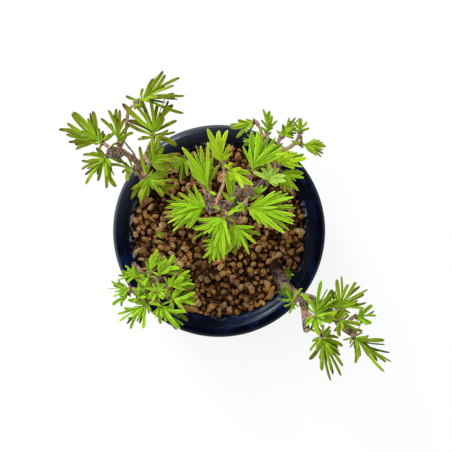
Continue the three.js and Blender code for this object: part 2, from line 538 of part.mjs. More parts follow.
// One spray: a slim stem from its hub with leaflets fanned out round it, all as one plate that
// is thick along the stem and thin at the leaflets. A leaflet that would meet another piece is
// bent up or down until it is clear.
const BENDS = [0, 12, -12, 24, -24, 36, -36];
const CLEFT = 0.2; // how far out two leaflets part, as a share of the shorter one's length
function spray([, , hub, aim, rise, , tips]) {
  const axis = heading(aim, rise);
  const right = axis.clone().cross(new THREE.Vector3(0, 0, 1)).normalize();
  const up = right.clone().cross(axis);
  const base = vector(hub).addScaledVector(axis, FIT_GAP);
  const place = (point, lift) =>
    base.clone().addScaledVector(axis, point.x).addScaledVector(right, -point.y).addScaledVector(up, lift);

  const isLeafletClear = (leaf) => {
    const wider = { ...leaf, width: leaf.width + 2 * FIT_GAP };
    const outline = [leaf.root.clone(), ...leafletEdges(wider)];
    const places = outline.map((point) => place(point, liftAt(point, leaf)));
    const half = outline.map(() => LEAFLET_THICKNESS / 2 + FIT_GAP);
    return isClear(solidOf(plate(outline, places, up, half)));
  };

  const leaflets = leafletsOf(aim, rise, tips).filter((leaf) =>
    BENDS.some((bend) => {
      leaf.lift = THREE.MathUtils.degToRad(leaf.turnUp + bend);
      return isLeafletClear(leaf);
    }),
  );

  const outline = [new THREE.Vector2(0, -STEM_RADIUS)];
  const lifts = [0];
  const half = [STEM_RADIUS];
  leaflets.forEach((leaf, number) => {
    for (const point of leafletEdges(leaf)) {
      outline.push(point);
      lifts.push(liftAt(point, leaf));
      half.push(LEAFLET_THICKNESS / 2);
    }
    const next = leaflets[number + 1];
    if (!next) return;
    const cleft = Math.max(STEM_RADIUS, CLEFT * Math.min(leaf.length, next.length));
    const turn = (leaf.fan + next.fan) / 2;
    outline.push(leaf.root.clone().add(new THREE.Vector2(cleft * Math.cos(turn), cleft * Math.sin(turn))));
    lifts.push(0);
    half.push(STEM_RADIUS * 0.7);
  });
  outline.push(new THREE.Vector2(0, STEM_RADIUS));
  lifts.push(0);
  half.push(STEM_RADIUS);
  const places = outline.map((point, i) => place(point, lifts[i]));
  return solidOf(plate(outline, places, up, half));
}

addPiece("pot", pot(), "glaze");
addPiece("drain_mesh", drainMesh(), "plastic");
addPiece("soil", soil(), "granules");
for (const name of Object.keys(TREES)) addPiece(`wood_${name}`, wood(name), "bark");
const numbers = {};
for (const row of SPRAYS) {
  numbers[row[0]] = (numbers[row[0]] ?? 0) + 1;
  addPiece(`spray_${row[0]}_${numbers[row[0]]}`, spray(row), row[5]);
}

export default plant;
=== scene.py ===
"""A small dawn redwood bonsai clump in a round glazed pot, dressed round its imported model.

Four short trunks stand in one pot of fired clay granules. Their short spurs open into sprays
of flat leaflets. Sizes in the tables are millimetres from the middle of the pot's foot, and
the scene is in metres, in the model's own frame.
"""

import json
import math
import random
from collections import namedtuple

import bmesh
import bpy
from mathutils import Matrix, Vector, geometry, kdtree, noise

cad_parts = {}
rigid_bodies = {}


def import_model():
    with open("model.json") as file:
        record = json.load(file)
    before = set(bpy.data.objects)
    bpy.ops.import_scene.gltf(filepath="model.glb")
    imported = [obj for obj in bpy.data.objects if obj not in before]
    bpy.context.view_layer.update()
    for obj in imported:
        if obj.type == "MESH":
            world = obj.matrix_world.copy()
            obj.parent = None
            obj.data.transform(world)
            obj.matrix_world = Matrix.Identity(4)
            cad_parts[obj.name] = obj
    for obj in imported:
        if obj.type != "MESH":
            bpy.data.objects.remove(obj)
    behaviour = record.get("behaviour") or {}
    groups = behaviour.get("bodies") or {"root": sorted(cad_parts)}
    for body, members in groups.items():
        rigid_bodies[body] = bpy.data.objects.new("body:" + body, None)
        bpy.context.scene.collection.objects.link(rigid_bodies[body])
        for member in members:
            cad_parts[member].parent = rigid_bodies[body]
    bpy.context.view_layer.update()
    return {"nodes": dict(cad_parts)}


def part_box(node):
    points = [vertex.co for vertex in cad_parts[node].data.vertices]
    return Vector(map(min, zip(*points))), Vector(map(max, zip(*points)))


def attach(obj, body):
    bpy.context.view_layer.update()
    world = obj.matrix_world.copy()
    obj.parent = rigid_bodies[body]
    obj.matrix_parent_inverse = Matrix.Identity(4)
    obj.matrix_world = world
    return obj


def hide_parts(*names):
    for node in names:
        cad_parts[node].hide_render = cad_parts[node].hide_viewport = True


bl_info = {
    "name": "Dawn Redwood Bonsai",
    "version": (1, 0, 0),
    "blender": (4, 5, 0),
    "location": "3D View > Sidebar > Bonsai",
    "description": "Pot, granules, wood and leaf sprays of a small dawn redwood bonsai",
    "category": "Object",
}

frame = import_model()

MM = 0.001
POT_LOW, POT_HIGH = (Vector(corner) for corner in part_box("pot"))
POT_FOOT = Vector(((POT_LOW.x + POT_HIGH.x) / 2, (POT_LOW.y + POT_HIGH.y) / 2, POT_LOW.z))
POT_RADIUS = (POT_HIGH.x - POT_LOW.x) / 2 / MM

# The pot's section, as radius and height: out along the base, up the outside, over the rolled
# rim and down the inside to the floor. The set after it says which of its points are sharp.
DRAIN_RADIUS = 6
FLOOR_TOP = 8
POT_PROFILE = [
    (DRAIN_RADIUS, 3), (33.5, 3), (34.5, 0), (39.5, 0), (40.5, 3.5), (47.5, 8.5), (53.9, 16),
    (58.4, 25), (60.4, 34), (POT_RADIUS, 40), (60.4, 44.2), (58.8, 47), (56.6, 48), (54.2, 47.3),
    (51.9, 45), (49.2, 41.6), (49.6, 36), (50.5, 28), (48.7, 20), (43.8, 12.5), (36, FLOOR_TOP),
    (DRAIN_RADIUS, FLOOR_TOP),
]
SHARP_POINTS = {0, 1, 2, 3, 4, 20, 21}
FOOT_NOTCHES = (0.25, 0.58, 0.92)  # turns round the foot ring
NOTCH_WIDTH = 10
NOTCH_HEIGHT = 2

SOIL_TOP = 42.2
SOIL_PROFILE = [
    (0, 9.6), (37.6, 9.6), (43.1, 12.9), (48.1, 20.4), (49.9, 28), (49, 36), (48.6, 40.2), (0, 40.2)]
GRAIN_BED_RADIUS = 48
GRAIN_BED_HEIGHT = SOIL_TOP - 0.4
GRAIN_FORMS = 7
GRAIN_LAYERS = 3
LAYER_DROP = 1.1  # from a layer of granules to the next, which is also darker
# How much less far up each lower layer's tones reach, as painted shade between the granules.
LOWER_LAYER_SHADE = 0.3
GRAIN_RISES = (-0.5, 0.9)  # how far a granule may lie below or above its layer
SMALLEST_GRAIN = 0.45  # as a share of the usual size
LARGEST_GRAIN = 1.38
GRAIN_DENSITY = 400000  # the most that are tried on a square metre

# The wood: each tree's limbs and young shoots as points on their centre lines and the radius at
# each point, each knob as a place and a radius, and each sawn end as a place, the way it looks
# and a radius.
Tree = namedtuple("Tree", "limbs knobs shoots sawn", defaults=((), ()))
TREES = {
    "main": Tree(
        limbs=[
            ([(24, 23, 38), (24, 23, 44), (20.5, 23, 60), (16.5, 22, 74), (12.5, 21, 85), (10, 20.8, 90)],
             [5.4, 5.2, 4.4, 4, 3.8, 2.8]),
            ([(13, 21, 82), (7, 16.5, 87), (3, 13.3, 90), (-1.5, 12.2, 91.5), (-4, 14.8, 93)],
             [2.6, 2, 1.7, 1.5, 1.2]),
            ([(20, 23, 62), (23.5, 24.6, 71), (26, 28, 78.5), (27.7, 36.5, 87), (33, 41, 90.5),
              (38.5, 44.5, 93.5), (41.2, 48.5, 96)],
             [2.9, 2.6, 2.1, 1.5, 1.1, 1, 0.85]),
            ([(28, 38, 88), (24, 44, 88.5), (22.8, 49, 90), (20.3, 54.8, 91.8)], [1, 0.85, 0.75, 0.6]),
            ([(33, 41.3, 90.5), (30.8, 46, 91), (34, 53.8, 93)], [1.1, 0.9, 0.7]),
            ([(15, 21.5, 78), (16, 25.5, 89), (16.8, 29, 95.5)], [1.3, 1, 0.9]),
            ([(13.5, 20.5, 82), (14, 15.8, 89), (14.3, 13.4, 92.5)], [1.5, 1.2, 1]),
            ([(-4, 14.8, 92.5), (-8.5, 24, 92), (-13.5, 33.5, 91.5)], [1.1, 0.9, 0.8]),
            ([(7.5, 17, 86.5), (8, 10.5, 86.5), (7.9, 6, 87.5)], [1.3, 1.1, 0.9]),
        ],
        shoots=[
            ([(-1.5, 12.8, 91.5), (0.5, 18.5, 97), (2.3, 22.5, 105), (3.2, 27.5, 116), (2.5, 32.4, 126.5)],
             [1, 0.8, 0.7, 0.6, 0.55]),
        ],
        knobs=[(-4.2, 16.4, 93, 1.9), (-3.4, 12.2, 92.4, 1.8), (3.2, 13, 91.4, 2), (9.4, 9.8, 88, 1.7),
               (8, 17, 88.5, 2)],
    ),
    "lower_right": Tree(
        limbs=[
            ([(32.2, -21.2, 38), (32.2, -21.2, 44), (32.6, -23, 56), (34.2, -26.6, 64), (36.8, -30.6, 71),
              (41, -34.2, 77), (44, -34.6, 80)],
             [4.2, 4, 3.6, 3.3, 3.2, 2.9, 2.5]),
            ([(43, -34.5, 79.5), (48, -35, 82.5), (52, -37.2, 84.5), (59, -43.8, 86), (65.5, -49.8, 86),
              (70.5, -53.2, 86)],
             [2.4, 2.1, 2, 2, 2.1, 2.2]),
            ([(43.5, -34.6, 79.5), (45, -39, 80.5), (45.6, -44, 79.5), (46.3, -51.5, 77.5)],
             [2.2, 2, 1.9, 1.9]),
            ([(45.5, -43, 80), (50, -48, 82.5), (53, -52.5, 83)], [1.2, 1, 0.9]),
        ],
        knobs=[(44.6, -38, 82.2, 1.7)],
        sawn=[((70.9, -53.4, 86.3), (0.75, -0.5, 0.45), 1.8),
              ((46.5, -52, 79), (0.1, -0.5, 0.87), 1.8)],
    ),
    "lower_left": Tree(
        limbs=[
            ([(-27.6, -27.6, 38), (-27.6, -27.6, 44), (-30.7, -27.5, 60), (-34, -27.6, 73), (-35.4, -28, 82)],
             [3.4, 3.2, 2.6, 2.3, 1.8]),
            ([(-35.2, -27.8, 80), (-37, -24.5, 86), (-39.5, -20.5, 89), (-43.2, -16.7, 91)],
             [1.4, 1.1, 1, 1.1]),
            ([(-35.2, -28, 80), (-39.5, -30.2, 84.5), (-44, -29.6, 86.5)], [1.4, 1.1, 0.9]),
            ([(-34.5, -28, 77), (-30.5, -30, 83), (-27.5, -31.3, 86)], [1.4, 1.2, 1]),
            ([(-34.5, -28.3, 76), (-34.5, -33, 80), (-34, -36.2, 82.5)], [1.4, 1.2, 1]),
        ],
        knobs=[(-36.2, -25, 87.4, 1.8), (-33.8, -25.2, 86.8, 1.5), (-40.4, -31.6, 86.4, 1.6),
               (-43.2, -16.8, 91, 0.8)],
    ),
    "upper_left": Tree(
        limbs=[
            ([(-36.8, 22.3, 38), (-36.8, 22.3, 44), (-38.8, 24.2, 62), (-39.6, 27.2, 76), (-40, 31, 86),
              (-41.5, 35.5, 94), (-45, 38.3, 99), (-49, 40.5, 101.5), (-53, 41.2, 102.5)],
             [3.6, 3.4, 2.6, 2.2, 1.7, 1.5, 1.4, 1.5, 1.3]),
            ([(-49.6, 40.4, 101.4), (-46.9, 45, 103.6), (-45.5, 49.7, 106), (-44.4, 55.8, 108.7),
              (-43.4, 59.7, 110.4), (-40.6, 61.8, 111.5), (-39, 62.6, 111.8)],
             [0.9, 0.75, 0.7, 0.9, 0.8, 0.7, 0.7]),
            ([(-41.6, 36.2, 95), (-42.4, 39.2, 98.5), (-44.6, 42.2, 102), (-46.3, 44.8, 105)],
             [0.7, 0.5, 0.55, 0.35]),
            ([(-41, 34.5, 92), (-37, 38, 97), (-33.5, 43.5, 102.5), (-32.2, 46, 104.5)], [1.3, 1.1, 1, 0.9]),
        ],
        knobs=[(-52.4, 39.6, 103, 2), (-49.6, 38.6, 102.4, 1.7), (-41.6, 31.6, 87.4, 1.8)],
    ),
}

LIMB_STEP = 0.8 * MM  # between two places on a limb's line
LIMB_SIDES = 14
SPUR_STEP = 0.6 * MM
SPUR_NECK = 1.2  # how far before its hub a spur turns to the spray's aim
SPUR_RADII = [1.1, 0.95, 0.8]
STEM_RADII = [0.75, 0.6, 0.25]

# The sprays: where the spur leaves the wood, the hub where the spray opens, the compass aim and
# the rise of its middle in degrees, the leaf's age, and where each leaflet's tip lies, seen from
# above: its compass angle and its distance from the hub, and how wide the leaflet shows where
# that isn't the usual.
Spray = namedtuple("Spray", "tree spur hub aim rise age tips")
SPRAYS = [Spray(*row) for row in (
    ("upper_left", (-53, 41.2, 102.5), (-58, 44.5, 102), 150, 8, "mature", [
        (164, 21), (157, 19), (152, 19), (169, 17), (179, 17, 1), (133, 20, 3), (137, 19), (184, 14),
        (196, 13), (118, 13), (113, 16, 1), (106, 16, 3), (99, 7), (84, 6), (42, 9)]),
    ("upper_left", (-52, 40.8, 102), (-56, 37.6, 100), -128, -5, "mature", [
        (-125, 17), (-112, 13), (-90, 16), (-72, 16, 3), (-66, 10, 1), (-79, 11), (-137, 14, 1),
        (-132, 11), (-154, 14), (-164, 11), (-173, 13, 1), (-186, 12), (-194, 8, 1), (-221, 7),
        (-23, 8)]),
    ("upper_left", (-48.8, 40.6, 101.5), (-49.1, 44, 106), 92, 25, "mature", [
        (104, 15), (92, 16), (85, 15), (125, 13), (112, 10), (31, 9), (69, 12), (56, 10)]),
    ("upper_left", (-39.2, 62.5, 111.7), (-37.8, 63.5, 112), 30, 12, "mature", [
        (77, 6), (61, 13), (48, 18), (41, 17), (33, 12), (31, 22), (20, 18), (13, 17), (7, 20),
        (3, 22, 1), (-17, 22, 1), (29, 14), (-125, 5), (-175, 4, 1)]),
    ("upper_left", (-32.3, 45.2, 103.8), (-31.8, 47, 106), 85, 18, "mature", [
        (134, 20, 3), (148, 15, 3), (154, 14), (120, 18), (108, 19), (105, 13), (93, 17), (82, 16),
        (73, 12), (70, 20, 1), (65, 19, 1), (56, 18, 3), (56, 10), (34, 14), (22, 8), (8, 11, 1),
        (-20, 12, 3), (190, 8)]),
    ("upper_left", (-37, 38, 97), (-33.5, 34.1, 104), 55, 22, "mature", [
        (83, 14), (73, 12), (65, 14, 3), (49, 10, 3), (16, 16), (12, 11, 3), (5, 12), (-9, 11, 3),
        (-25, 9), (95, 7), (60, 8, 3), (-47, 6)]),
    ("upper_left", (-40, 31, 86), (-35.8, 27.5, 98), -48, 5, "mature", [
        (-138, 10), (-126, 14), (-117, 11, 3), (-102, 14), (-97, 12, 1), (-87, 10), (-50, 13, 3),
        (-39, 15), (-28, 14), (-4, 15), (-16, 17), (13, 13), (30, 13), (-62, 7), (102, 16)]),
    ("upper_left", (-41, 34, 91), (-42.9, 32, 96), 180, 10, "mature", [
        (172, 12), (139, 11), (204, 6), (246, 7, 3), (117, 7)]),
    ("main", (-3, 13, 92), (-6.2, 13, 92.6), 186, 5, "fresh", [
        (152, 15), (137, 13), (129, 8, 1), (121, 12), (172, 21), (166, 19), (177, 18), (182, 21),
        (186, 17), (190, 21), (195, 22), (199, 18), (204, 21), (210, 20), (216, 21), (221, 18),
        (213, 16), (226, 15), (233, 14)]),
    ("main", (3, 12.8, 90.5), (3.5, 7.6, 93), -130, -5, "fresh", [
        (-177, 17), (-170, 14), (-162, 18), (-155, 17), (-149, 21), (-142, 14), (-136, 12), (-130, 14),
        (-118, 14), (-111, 16), (-105, 18), (-98, 18), (-92, 19), (-85, 19), (-79, 16), (40, 9)]),
    ("main", (7.9, 6.8, 87.2), (7.6, 4.4, 87.6), -55, -8, "fresh", [
        (-122, 10), (-111, 15), (-103, 17), (-94, 15), (-86, 17), (-79, 13), (-66, 18), (-58, 15),
        (-72, 13), (-44, 16), (-37, 12), (-24, 16), (-11, 11)]),
    ("main", (14.3, 14, 92), (14.7, 12, 94), -6, 8, "fresh", [
        (32, 16), (26, 20, 3), (20, 22), (15, 23), (10, 21, 3), (4, 23), (-1, 24), (-4, 21, 1),
        (-7, 23), (-10, 24), (-13, 20), (-16, 24), (-20, 24), (-23, 21, 1), (-27, 24), (-34, 22, 3),
        (-39, 17), (-44, 14), (-53, 10), (190, 14, 3)]),
    ("main", (-4, 15.5, 93), (-5, 21, 93.5), 105, 12, "fresh", [
        (121, 24, 3), (127, 21), (138, 11), (132, 13), (105, 24, 1), (98, 22), (90, 23), (82, 18),
        (67, 14), (110, 20), (94, 15), (116, 17)]),
    ("main", (2.6, 31.8, 125.3), (2.3, 32.8, 128), 100, 38, "budding", [
        (116, 15, 3), (97, 13, 3), (84, 13), (127, 10, 3), (106, 9), (65, 8, 1), (140, 6), (45, 6, 1)]),
    ("main", (3.2, 27.5, 116), (4.9, 29.6, 120), -25, 10, "budding", [
        (8, 6), (-11, 11, 3), (-31, 14, 3), (-51, 11, 3), (-70, 7), (60, 4)]),
    ("main", (7, 16.5, 87.5), (6.5, 14.5, 96), 88, 25, "fresh", [
        (97, 18, 3), (84, 15), (128, 7), (54, 4)]),
    ("main", (-13.2, 33, 91.5), (-16.2, 37.4, 92), 215, 0, "fresh", [
        (173, 10), (188, 9), (207, 12), (228, 9), (256, 12), (217, 8, 1), (273, 9)]),
    ("main", (16.7, 28.5, 95), (17, 30.5, 98), 68, 15, "fresh", [
        (111, 13), (91, 20, 3), (82, 20, 3), (74, 18), (66, 20, 3), (54, 20), (49, 17), (43, 21, 3),
        (37, 19), (30, 17, 3), (20, 8), (98, 11)]),
    ("main", (20.6, 54.2, 91.6), (17.9, 56, 92), 200, 5, "mature", [
        (175, 8, 3), (155, 4), (187, 12), (197, 12, 3), (210, 7), (224, 12), (236, 7), (256, 5)]),
    ("main", (22.8, 49, 90), (25.4, 50.8, 92), 90, 25, "mature", [
        (106, 11), (97, 9), (87, 10, 3), (77, 8), (122, 7, 1), (58, 7, 1), (44, 7, 1), (145, 5)]),
    ("main", (23.4, 46, 89), (20.8, 46.4, 88.4), 172, -8, "fresh", [
        (149, 7), (168, 8), (134, 6), (180, 8), (192, 8), (206, 6)]),
    ("main", (31, 46.6, 91), (32.7, 48.6, 94), 50, 25, "mature", [
        (72, 9), (54, 11), (44, 12, 1), (62, 8), (-13, 6), (9, 7), (27, 7, 3), (86, 6), (133, 4)]),
    ("main", (41, 48.2, 95.8), (41.2, 50.1, 98), 75, 30, "mature", [
        (88, 6, 3), (58, 6), (22, 5), (125, 6), (156, 5)]),
    ("main", (39.5, 45.3, 94), (42.6, 44.3, 94), -8, 5, "mature", [
        (24, 7, 1), (6, 11, 3), (-6, 12, 3), (-17, 11), (-24, 12, 1), (-34, 12, 1), (-42, 9), (90, 5),
        (145, 4)]),
    ("main", (28, 36.8, 87.4), (31.2, 34.6, 90), 45, 12, "budding", [
        (96, 8), (80, 9, 3), (60, 10, 3), (43, 9, 3), (21, 14), (31, 11), (11, 14), (2, 10, 3),
        (-5, 12, 1), (-16, 8)]),
    ("main", (26.6, 31, 81.5), (32.4, 30.2, 85), -25, -2, "fresh", [
        (20, 7), (11, 10), (0, 12, 3), (-12, 12), (-24, 9), (-43, 13), (-52, 10), (-62, 11), (-78, 10),
        (-90, 7)]),
    ("main", (26.8, 32, 82.7), (25.6, 26.2, 91), 65, 24, "young", [
        (152, 9, 3), (118, 7, 3), (92, 9, 3), (72, 6, 3), (48, 8, 3), (14, 9, 3), (-4, 9, 3),
        (-25, 6, 3), (132, 5, 2), (33, 5, 2), (80, 4, 2)]),
    ("main", (8, 9.4, 86.5), (0.8, -3, 84), -115, -12, "fresh", [
        (-167, 9), (-149, 11), (-138, 10), (-129, 14), (-121, 11), (-112, 15), (-105, 13), (-99, 10),
        (-91, 13), (-80, 12), (-67, 11)]),
    ("main", (15.6, 21.3, 79), (21, 18.7, 83), 90, 20, "fresh", [
        (130, 5), (100, 5), (72, 6), (47, 6), (190, 4), (212, 5)]),
    ("lower_left", (-38, -23, 87.2), (-34.8, -20.8, 90), 78, 20, "fresh", [
        (74, 12, 3), (95, 7, 3), (84, 9), (62, 10, 1), (114, 6), (43, 8)]),
    ("lower_left", (-36, -26.5, 82.5), (-30.9, -22.8, 90), 42, 12, "fresh", [
        (83, 9), (72, 11, 3), (55, 13), (45, 13), (34, 14, 1), (21, 12, 3), (63, 9), (12, 14, 1),
        (4, 9)]),
    ("lower_left", (-28.2, -31, 85.4), (-26, -28.6, 88), 22, 5, "fresh", [
        (37, 14), (26, 13, 3), (17, 13), (9, 14, 1), (0, 14), (48, 12, 1), (-9, 9), (62, 7)]),
    ("lower_left", (-28, -31.2, 85.6), (-24.8, -34.9, 86), 0, 0, "fresh", [
        (49, 7, 3), (24, 13, 1), (36, 8), (13, 13, 3), (3, 13), (-4, 13, 1), (-12, 13), (-24, 12, 3),
        (-46, 7), (-34, 8)]),
    ("lower_left", (-34.1, -35.6, 82), (-30.4, -38.3, 84), -55, 0, "fresh", [
        (-12, 13, 3), (-31, 17, 3), (-40, 16), (-49, 16, 3), (-57, 16), (-88, 10, 3), (-132, 6),
        (-112, 6), (-21, 8), (-69, 9)]),
    ("lower_left", (-34.2, -35.2, 81.8), (-37.2, -37.3, 84), -142, 0, "fresh", [
        (-190, 10, 3), (-168, 13, 3), (-158, 17), (-148, 17), (-133, 16), (-122, 16), (-99, 13, 3),
        (-82, 6), (-140, 13), (-128, 11), (-112, 12, 1), (-61, 5)]),
    ("lower_left", (-43.6, -29.6, 86.3), (-46, -29.5, 86.6), 178, 5, "fresh", [
        (154, 10), (142, 8, 1), (181, 11, 1), (204, 9), (191, 8, 1), (216, 6), (166, 6)]),
    ("lower_left", (-43, -29.8, 86), (-47.2, -32.7, 83), 220, -10, "fresh", [
        (213, 10, 3), (240, 8), (192, 5, 1), (228, 6)]),
    ("lower_left", (-38.3, -22.4, 87.8), (-41, -23.4, 88.4), 160, 8, "fresh", [
        (158, 9, 3), (173, 11, 1), (138, 9, 1), (187, 10, 1), (200, 7), (116, 6), (97, 5), (148, 7)]),
    ("lower_left", (-30.5, -30, 83), (-31.4, -31, 90), 45, 15, "fresh", [
        (48, 6), (-31, 7), (115, 5), (155, 5), (-84, 6), (1, 4), (83, 5), (192, 7), (-148, 7, 3),
        (-116, 6), (63, 5)]),
    ("lower_left", (-40, -31, 84.8), (-40.8, -34.6, 89), 90, 18, "fresh", [
        (86, 7), (55, 6), (20, 5), (118, 6), (-43, 4), (140, 4)]),
    ("lower_left", (-36.5, -27.6, 84.5), (-37.8, -29.7, 88.6), 95, 32, "fresh", [
        (70, 5), (87, 9, 3), (104, 8, 3), (124, 7), (138, 4), (27, 4), (179, 4)]),
    ("lower_right", (40.5, -34.3, 77), (39.2, -37.4, 81), 122, 20, "fresh", [
        (117, 12), (143, 10), (166, 8), (61, 9), (98, 7, 1), (131, 7), (202, 5)]),
    ("lower_right", (45.4, -41.5, 80.5), (49.8, -43.8, 89), 78, 12, "fresh", [
        (121, 14, 3), (81, 19, 3), (70, 16, 1), (62, 16), (51, 17), (57, 13, 3), (42, 11, 3), (10, 13),
        (-13, 10, 3), (222, 6, 3), (252, 8), (28, 9), (-77, 10, 3), (-56, 7), (-5, 8)]),
    ("lower_right", (52.6, -51.8, 82.9), (54.1, -54.6, 83), -75, -10, "mature", [
        (-131, 10), (-115, 15, 3), (-89, 19, 3), (-80, 24), (-72, 23), (-64, 24), (-56, 19), (-47, 15),
        (-38, 11, 3), (-25, 12, 3), (-8, 9), (-105, 10), (-97, 12), (-148, 6), (25, 5)]),
    ("lower_right", (69, -52.4, 86), (70.6, -55, 84.5), -42, -12, "mature", [
        (-73, 11), (-86, 15), (-56, 21, 1), (-49, 24), (-45, 19), (-40, 23), (-34, 23, 1), (-26, 23),
        (-19, 18, 1), (-6, 16, 3), (-14, 11), (30, 5)]),
    ("lower_right", (57, -42, 86), (61.3, -39.6, 92), 60, 22, "mature", [
        (95, 15, 3), (88, 17, 1), (72, 14), (64, 16), (57, 16, 1), (50, 16), (42, 17, 1), (32, 15, 3),
        (14, 14), (4, 12), (23, 10), (111, 11, 3), (105, 8), (39, 9), (135, 7), (162, 6, 3),
        (200, 6, 3), (-35, 7)]),
    ("lower_right", (65, -49.3, 86.5), (70.8, -43.8, 89), 5, 15, "fresh", [
        (41, 10, 3), (17, 10), (5, 10), (-22, 8, 3), (-49, 5), (-36, 7, 1), (29, 6)]),
    ("lower_right", (61, -45.5, 86.4), (62.4, -45.4, 90), -30, 15, "mature", [
        (-12, 10, 3), (-26, 13), (-42, 7), (-94, 8, 3), (-112, 7), (30, 5), (155, 6, 3), (128, 7, 3),
        (96, 7), (176, 8), (198, 6, 3), (66, 6, 3)]),
)]

# Small things on the soil and the wood: tiny seedlings, each as its foot, aim and leaf length,
# and one dry needle that lies across the spurs.
SEEDLINGS = [
    ((-34, -1.7, 43.5), 140, 2.6), ((40.2, -25, 43.5), 70, 2.8), ((38.4, -22.6, 43.5), 20, 2.2)]
SEEDLING_LEAVES = 5
SEEDLING_SEED = 5
DRY_NEEDLE = [(16.1, 18, 94), (11.6, 13.5, 95.2), (6.8, 8.7, 95)]
DRY_NEEDLE_RADII = [0.25, 0.35, 0.2]

# Blades as widths along their length: leaflets are lances or blunt straps, bud scales are shields.
LEAFLET_OUTLINES = {
    "lance": [(0, 0.3), (0.06, 0.58), (0.16, 0.82), (0.34, 1), (0.6, 1), (0.78, 0.9), (0.89, 0.7),
              (0.96, 0.44), (1, 0.12)],
    "strap": [(0, 0.3), (0.06, 0.44), (0.18, 0.64), (0.36, 0.85), (0.6, 1), (0.8, 1), (0.91, 0.84),
              (0.97, 0.56), (1, 0.2)],
}
SCALE_OUTLINE = [(0, 0.7), (0.3, 1), (0.6, 0.9), (0.85, 0.6), (1, 0.2)]

# A blade's section, from side to side over its top and back under it, as shares of half its width
# and of its thickness.
BLADE_SECTION = [
    (-1, 0.8), (-0.5, 0.25), (0, 0), (0.5, 0.25), (1, 0.8), (0.5, -0.2), (0, -0.5), (-0.5, -0.2)]

# Each form's arch and bow, the leaflets' from the straightest to the most bent.
LEAFLET_FORMS = [
    (0.02, 0.5), (0.07, -0.8), (0.12, 1), (-0.03, 1.4), (0.05, -1.8), (0.14, -0.6), (0.09, 2.4)]
SCALE_FORMS = [(-0.25, 0.1), (-0.4, -0.1), (0.15, 0)]

SCALE_SEED = 21
COLLAR_SCALES = 8
KNOB_RINGS = [(0.92, 3), (0.6, 5), (0.15, 6), (-0.3, 6)]  # of scales: how high and how many
NEW_SCALE = 0.9  # how new a scale of this year looks
USUAL_LEAFLET = 18 * MM  # long
SEEN_WIDTH = 1.8  # of a leaflet from above, where its row doesn't say
TIP_LIFTS = (11, -9, 2)  # of a fan's leaflets in turn, in degrees
LEFT_IN_SHADE = (0.11, 0.18, 0.02)  # what shade leaves of a leaflet's red, green and blue

# Each age's brightness, which lessens its leaflets' painted shade, and its leaflets' width as a share of the
# usual one.
Age = namedtuple("Age", "brightness width")
AGES = {
    "mature": Age(0.64, 1), "fresh": Age(0.7, 1), "budding": Age(0.8, 1.45), "young": Age(1.25, 1.4)}

# How each tree's sprays grow: the leaflets' outline, how many of the forms they take, their width,
# the number of extra leaflets, how far those stray from the fan in degrees, how many short
# leaflets stand round the hub for each dozen of tips, how much darker the green is by painted
# shade, and how bronzed the older ones are.
Habit = namedtuple("Habit", "outline forms width extra stray basal darker bronzed")
HABITS = {
    "main": Habit("lance", 3, 0.94, 0.9, 6, 1, 0, 0.6),
    "lower_right": Habit("strap", 5, 0.86, 1.1, 9, 7, 0.38, 0.55),
    "lower_left": Habit("strap", 7, 0.78, 1.5, 24, 4, 0.2, 1),
    "upper_left": Habit("strap", 5, 0.98, 0.8, 8, 3, 0, 1),
}

# The stage: the way to the window as X and Y, the points that the lights look at and that the
# camera looks down on, and how bright the room is to the camera.
WINDOW_WAY = (-0.78, 0.62)
LIGHTS_AIM = (0, 0, 45)
VIEW_CENTRE = (3.96, 2.83, 0)
BACKDROP = 0.95
WHITE = (1, 1, 1, 1)


def metres(point):
    """A table's point, in millimetres from the middle of the pot's foot, in the scene's frame."""
    return POT_FOOT + Vector(point) * MM


def colour(code):
    """An sRGB hex colour as linear RGBA."""
    parts = [int(code[i:i + 2], 16) / 255 for i in (1, 3, 5)]
    linear = (part / 12.92 if part <= 0.04045 else ((part + 0.055) / 1.055) ** 2.4 for part in parts)
    return (*linear, 1)


def colour_property(name, code, description):
    return bpy.props.FloatVectorProperty(
        name=name, description=description, subtype="COLOR", size=4, min=0, max=1, default=colour(code))


def length_property(name, millimetres, description):
    return bpy.props.FloatProperty(
        name=name, description=description, subtype="DISTANCE", unit="LENGTH", min=0, precision=5,
        default=millimetres * MM)


def number_property(name, default, description, least=0):
    return bpy.props.FloatProperty(name=name, description=description, default=default, min=least)


class PotSettings(bpy.types.PropertyGroup):
    """Sizes and colours of the glazed pot."""
    sides: bpy.props.IntProperty(name="Sides", description="Steps round the turned pot", default=180, min=24)
    glaze: colour_property("Glaze", "#010517", "The navy glaze where it lies thick")
    glaze_thin: colour_property("Thin Glaze", "#0b1d46", "The glaze where it runs thin")
    # The slate colour below is a painted reflection of the room's light, laid on one side of the rim.
    painted_sheen: colour_property("Haze", "#272d36", "The slate haze of the glaze on the side that faced the fire")
    clay: colour_property("Clay", "#7b5a44", "The bare fired clay of the foot")
    lime: colour_property("Lime", "#d3d6da", "The mineral crust that hard water leaves at the soil line")
    mesh: colour_property("Drain Mesh", "#1d2124", "The moulded plastic mesh over the drain hole")


class SoilSettings(bpy.types.PropertyGroup):
    """Sizes and colours of the granules."""
    grain: length_property("Granule", 3.9, "Width of a granule")
    spacing: length_property("Spacing", 2.75, "Least distance between two granules of a layer")
    seed: bpy.props.IntProperty(name="Seed", description="Another scatter of the granules", default=4, min=0)
    light: colour_property("Light", "#ecc084", "The palest granules")
    middle: colour_property("Middle", "#d49b5e", "Most granules")
    dark: colour_property("Dark", "#704625", "The dampest granules")
    ochre: colour_property("Ochre", "#c98634", "The granules with the most iron yellow")
    russet: colour_property("Russet", "#8d5140", "The granules with the most iron red")
    depth: colour_property("Depth", "#050201", "The shade between the granules")


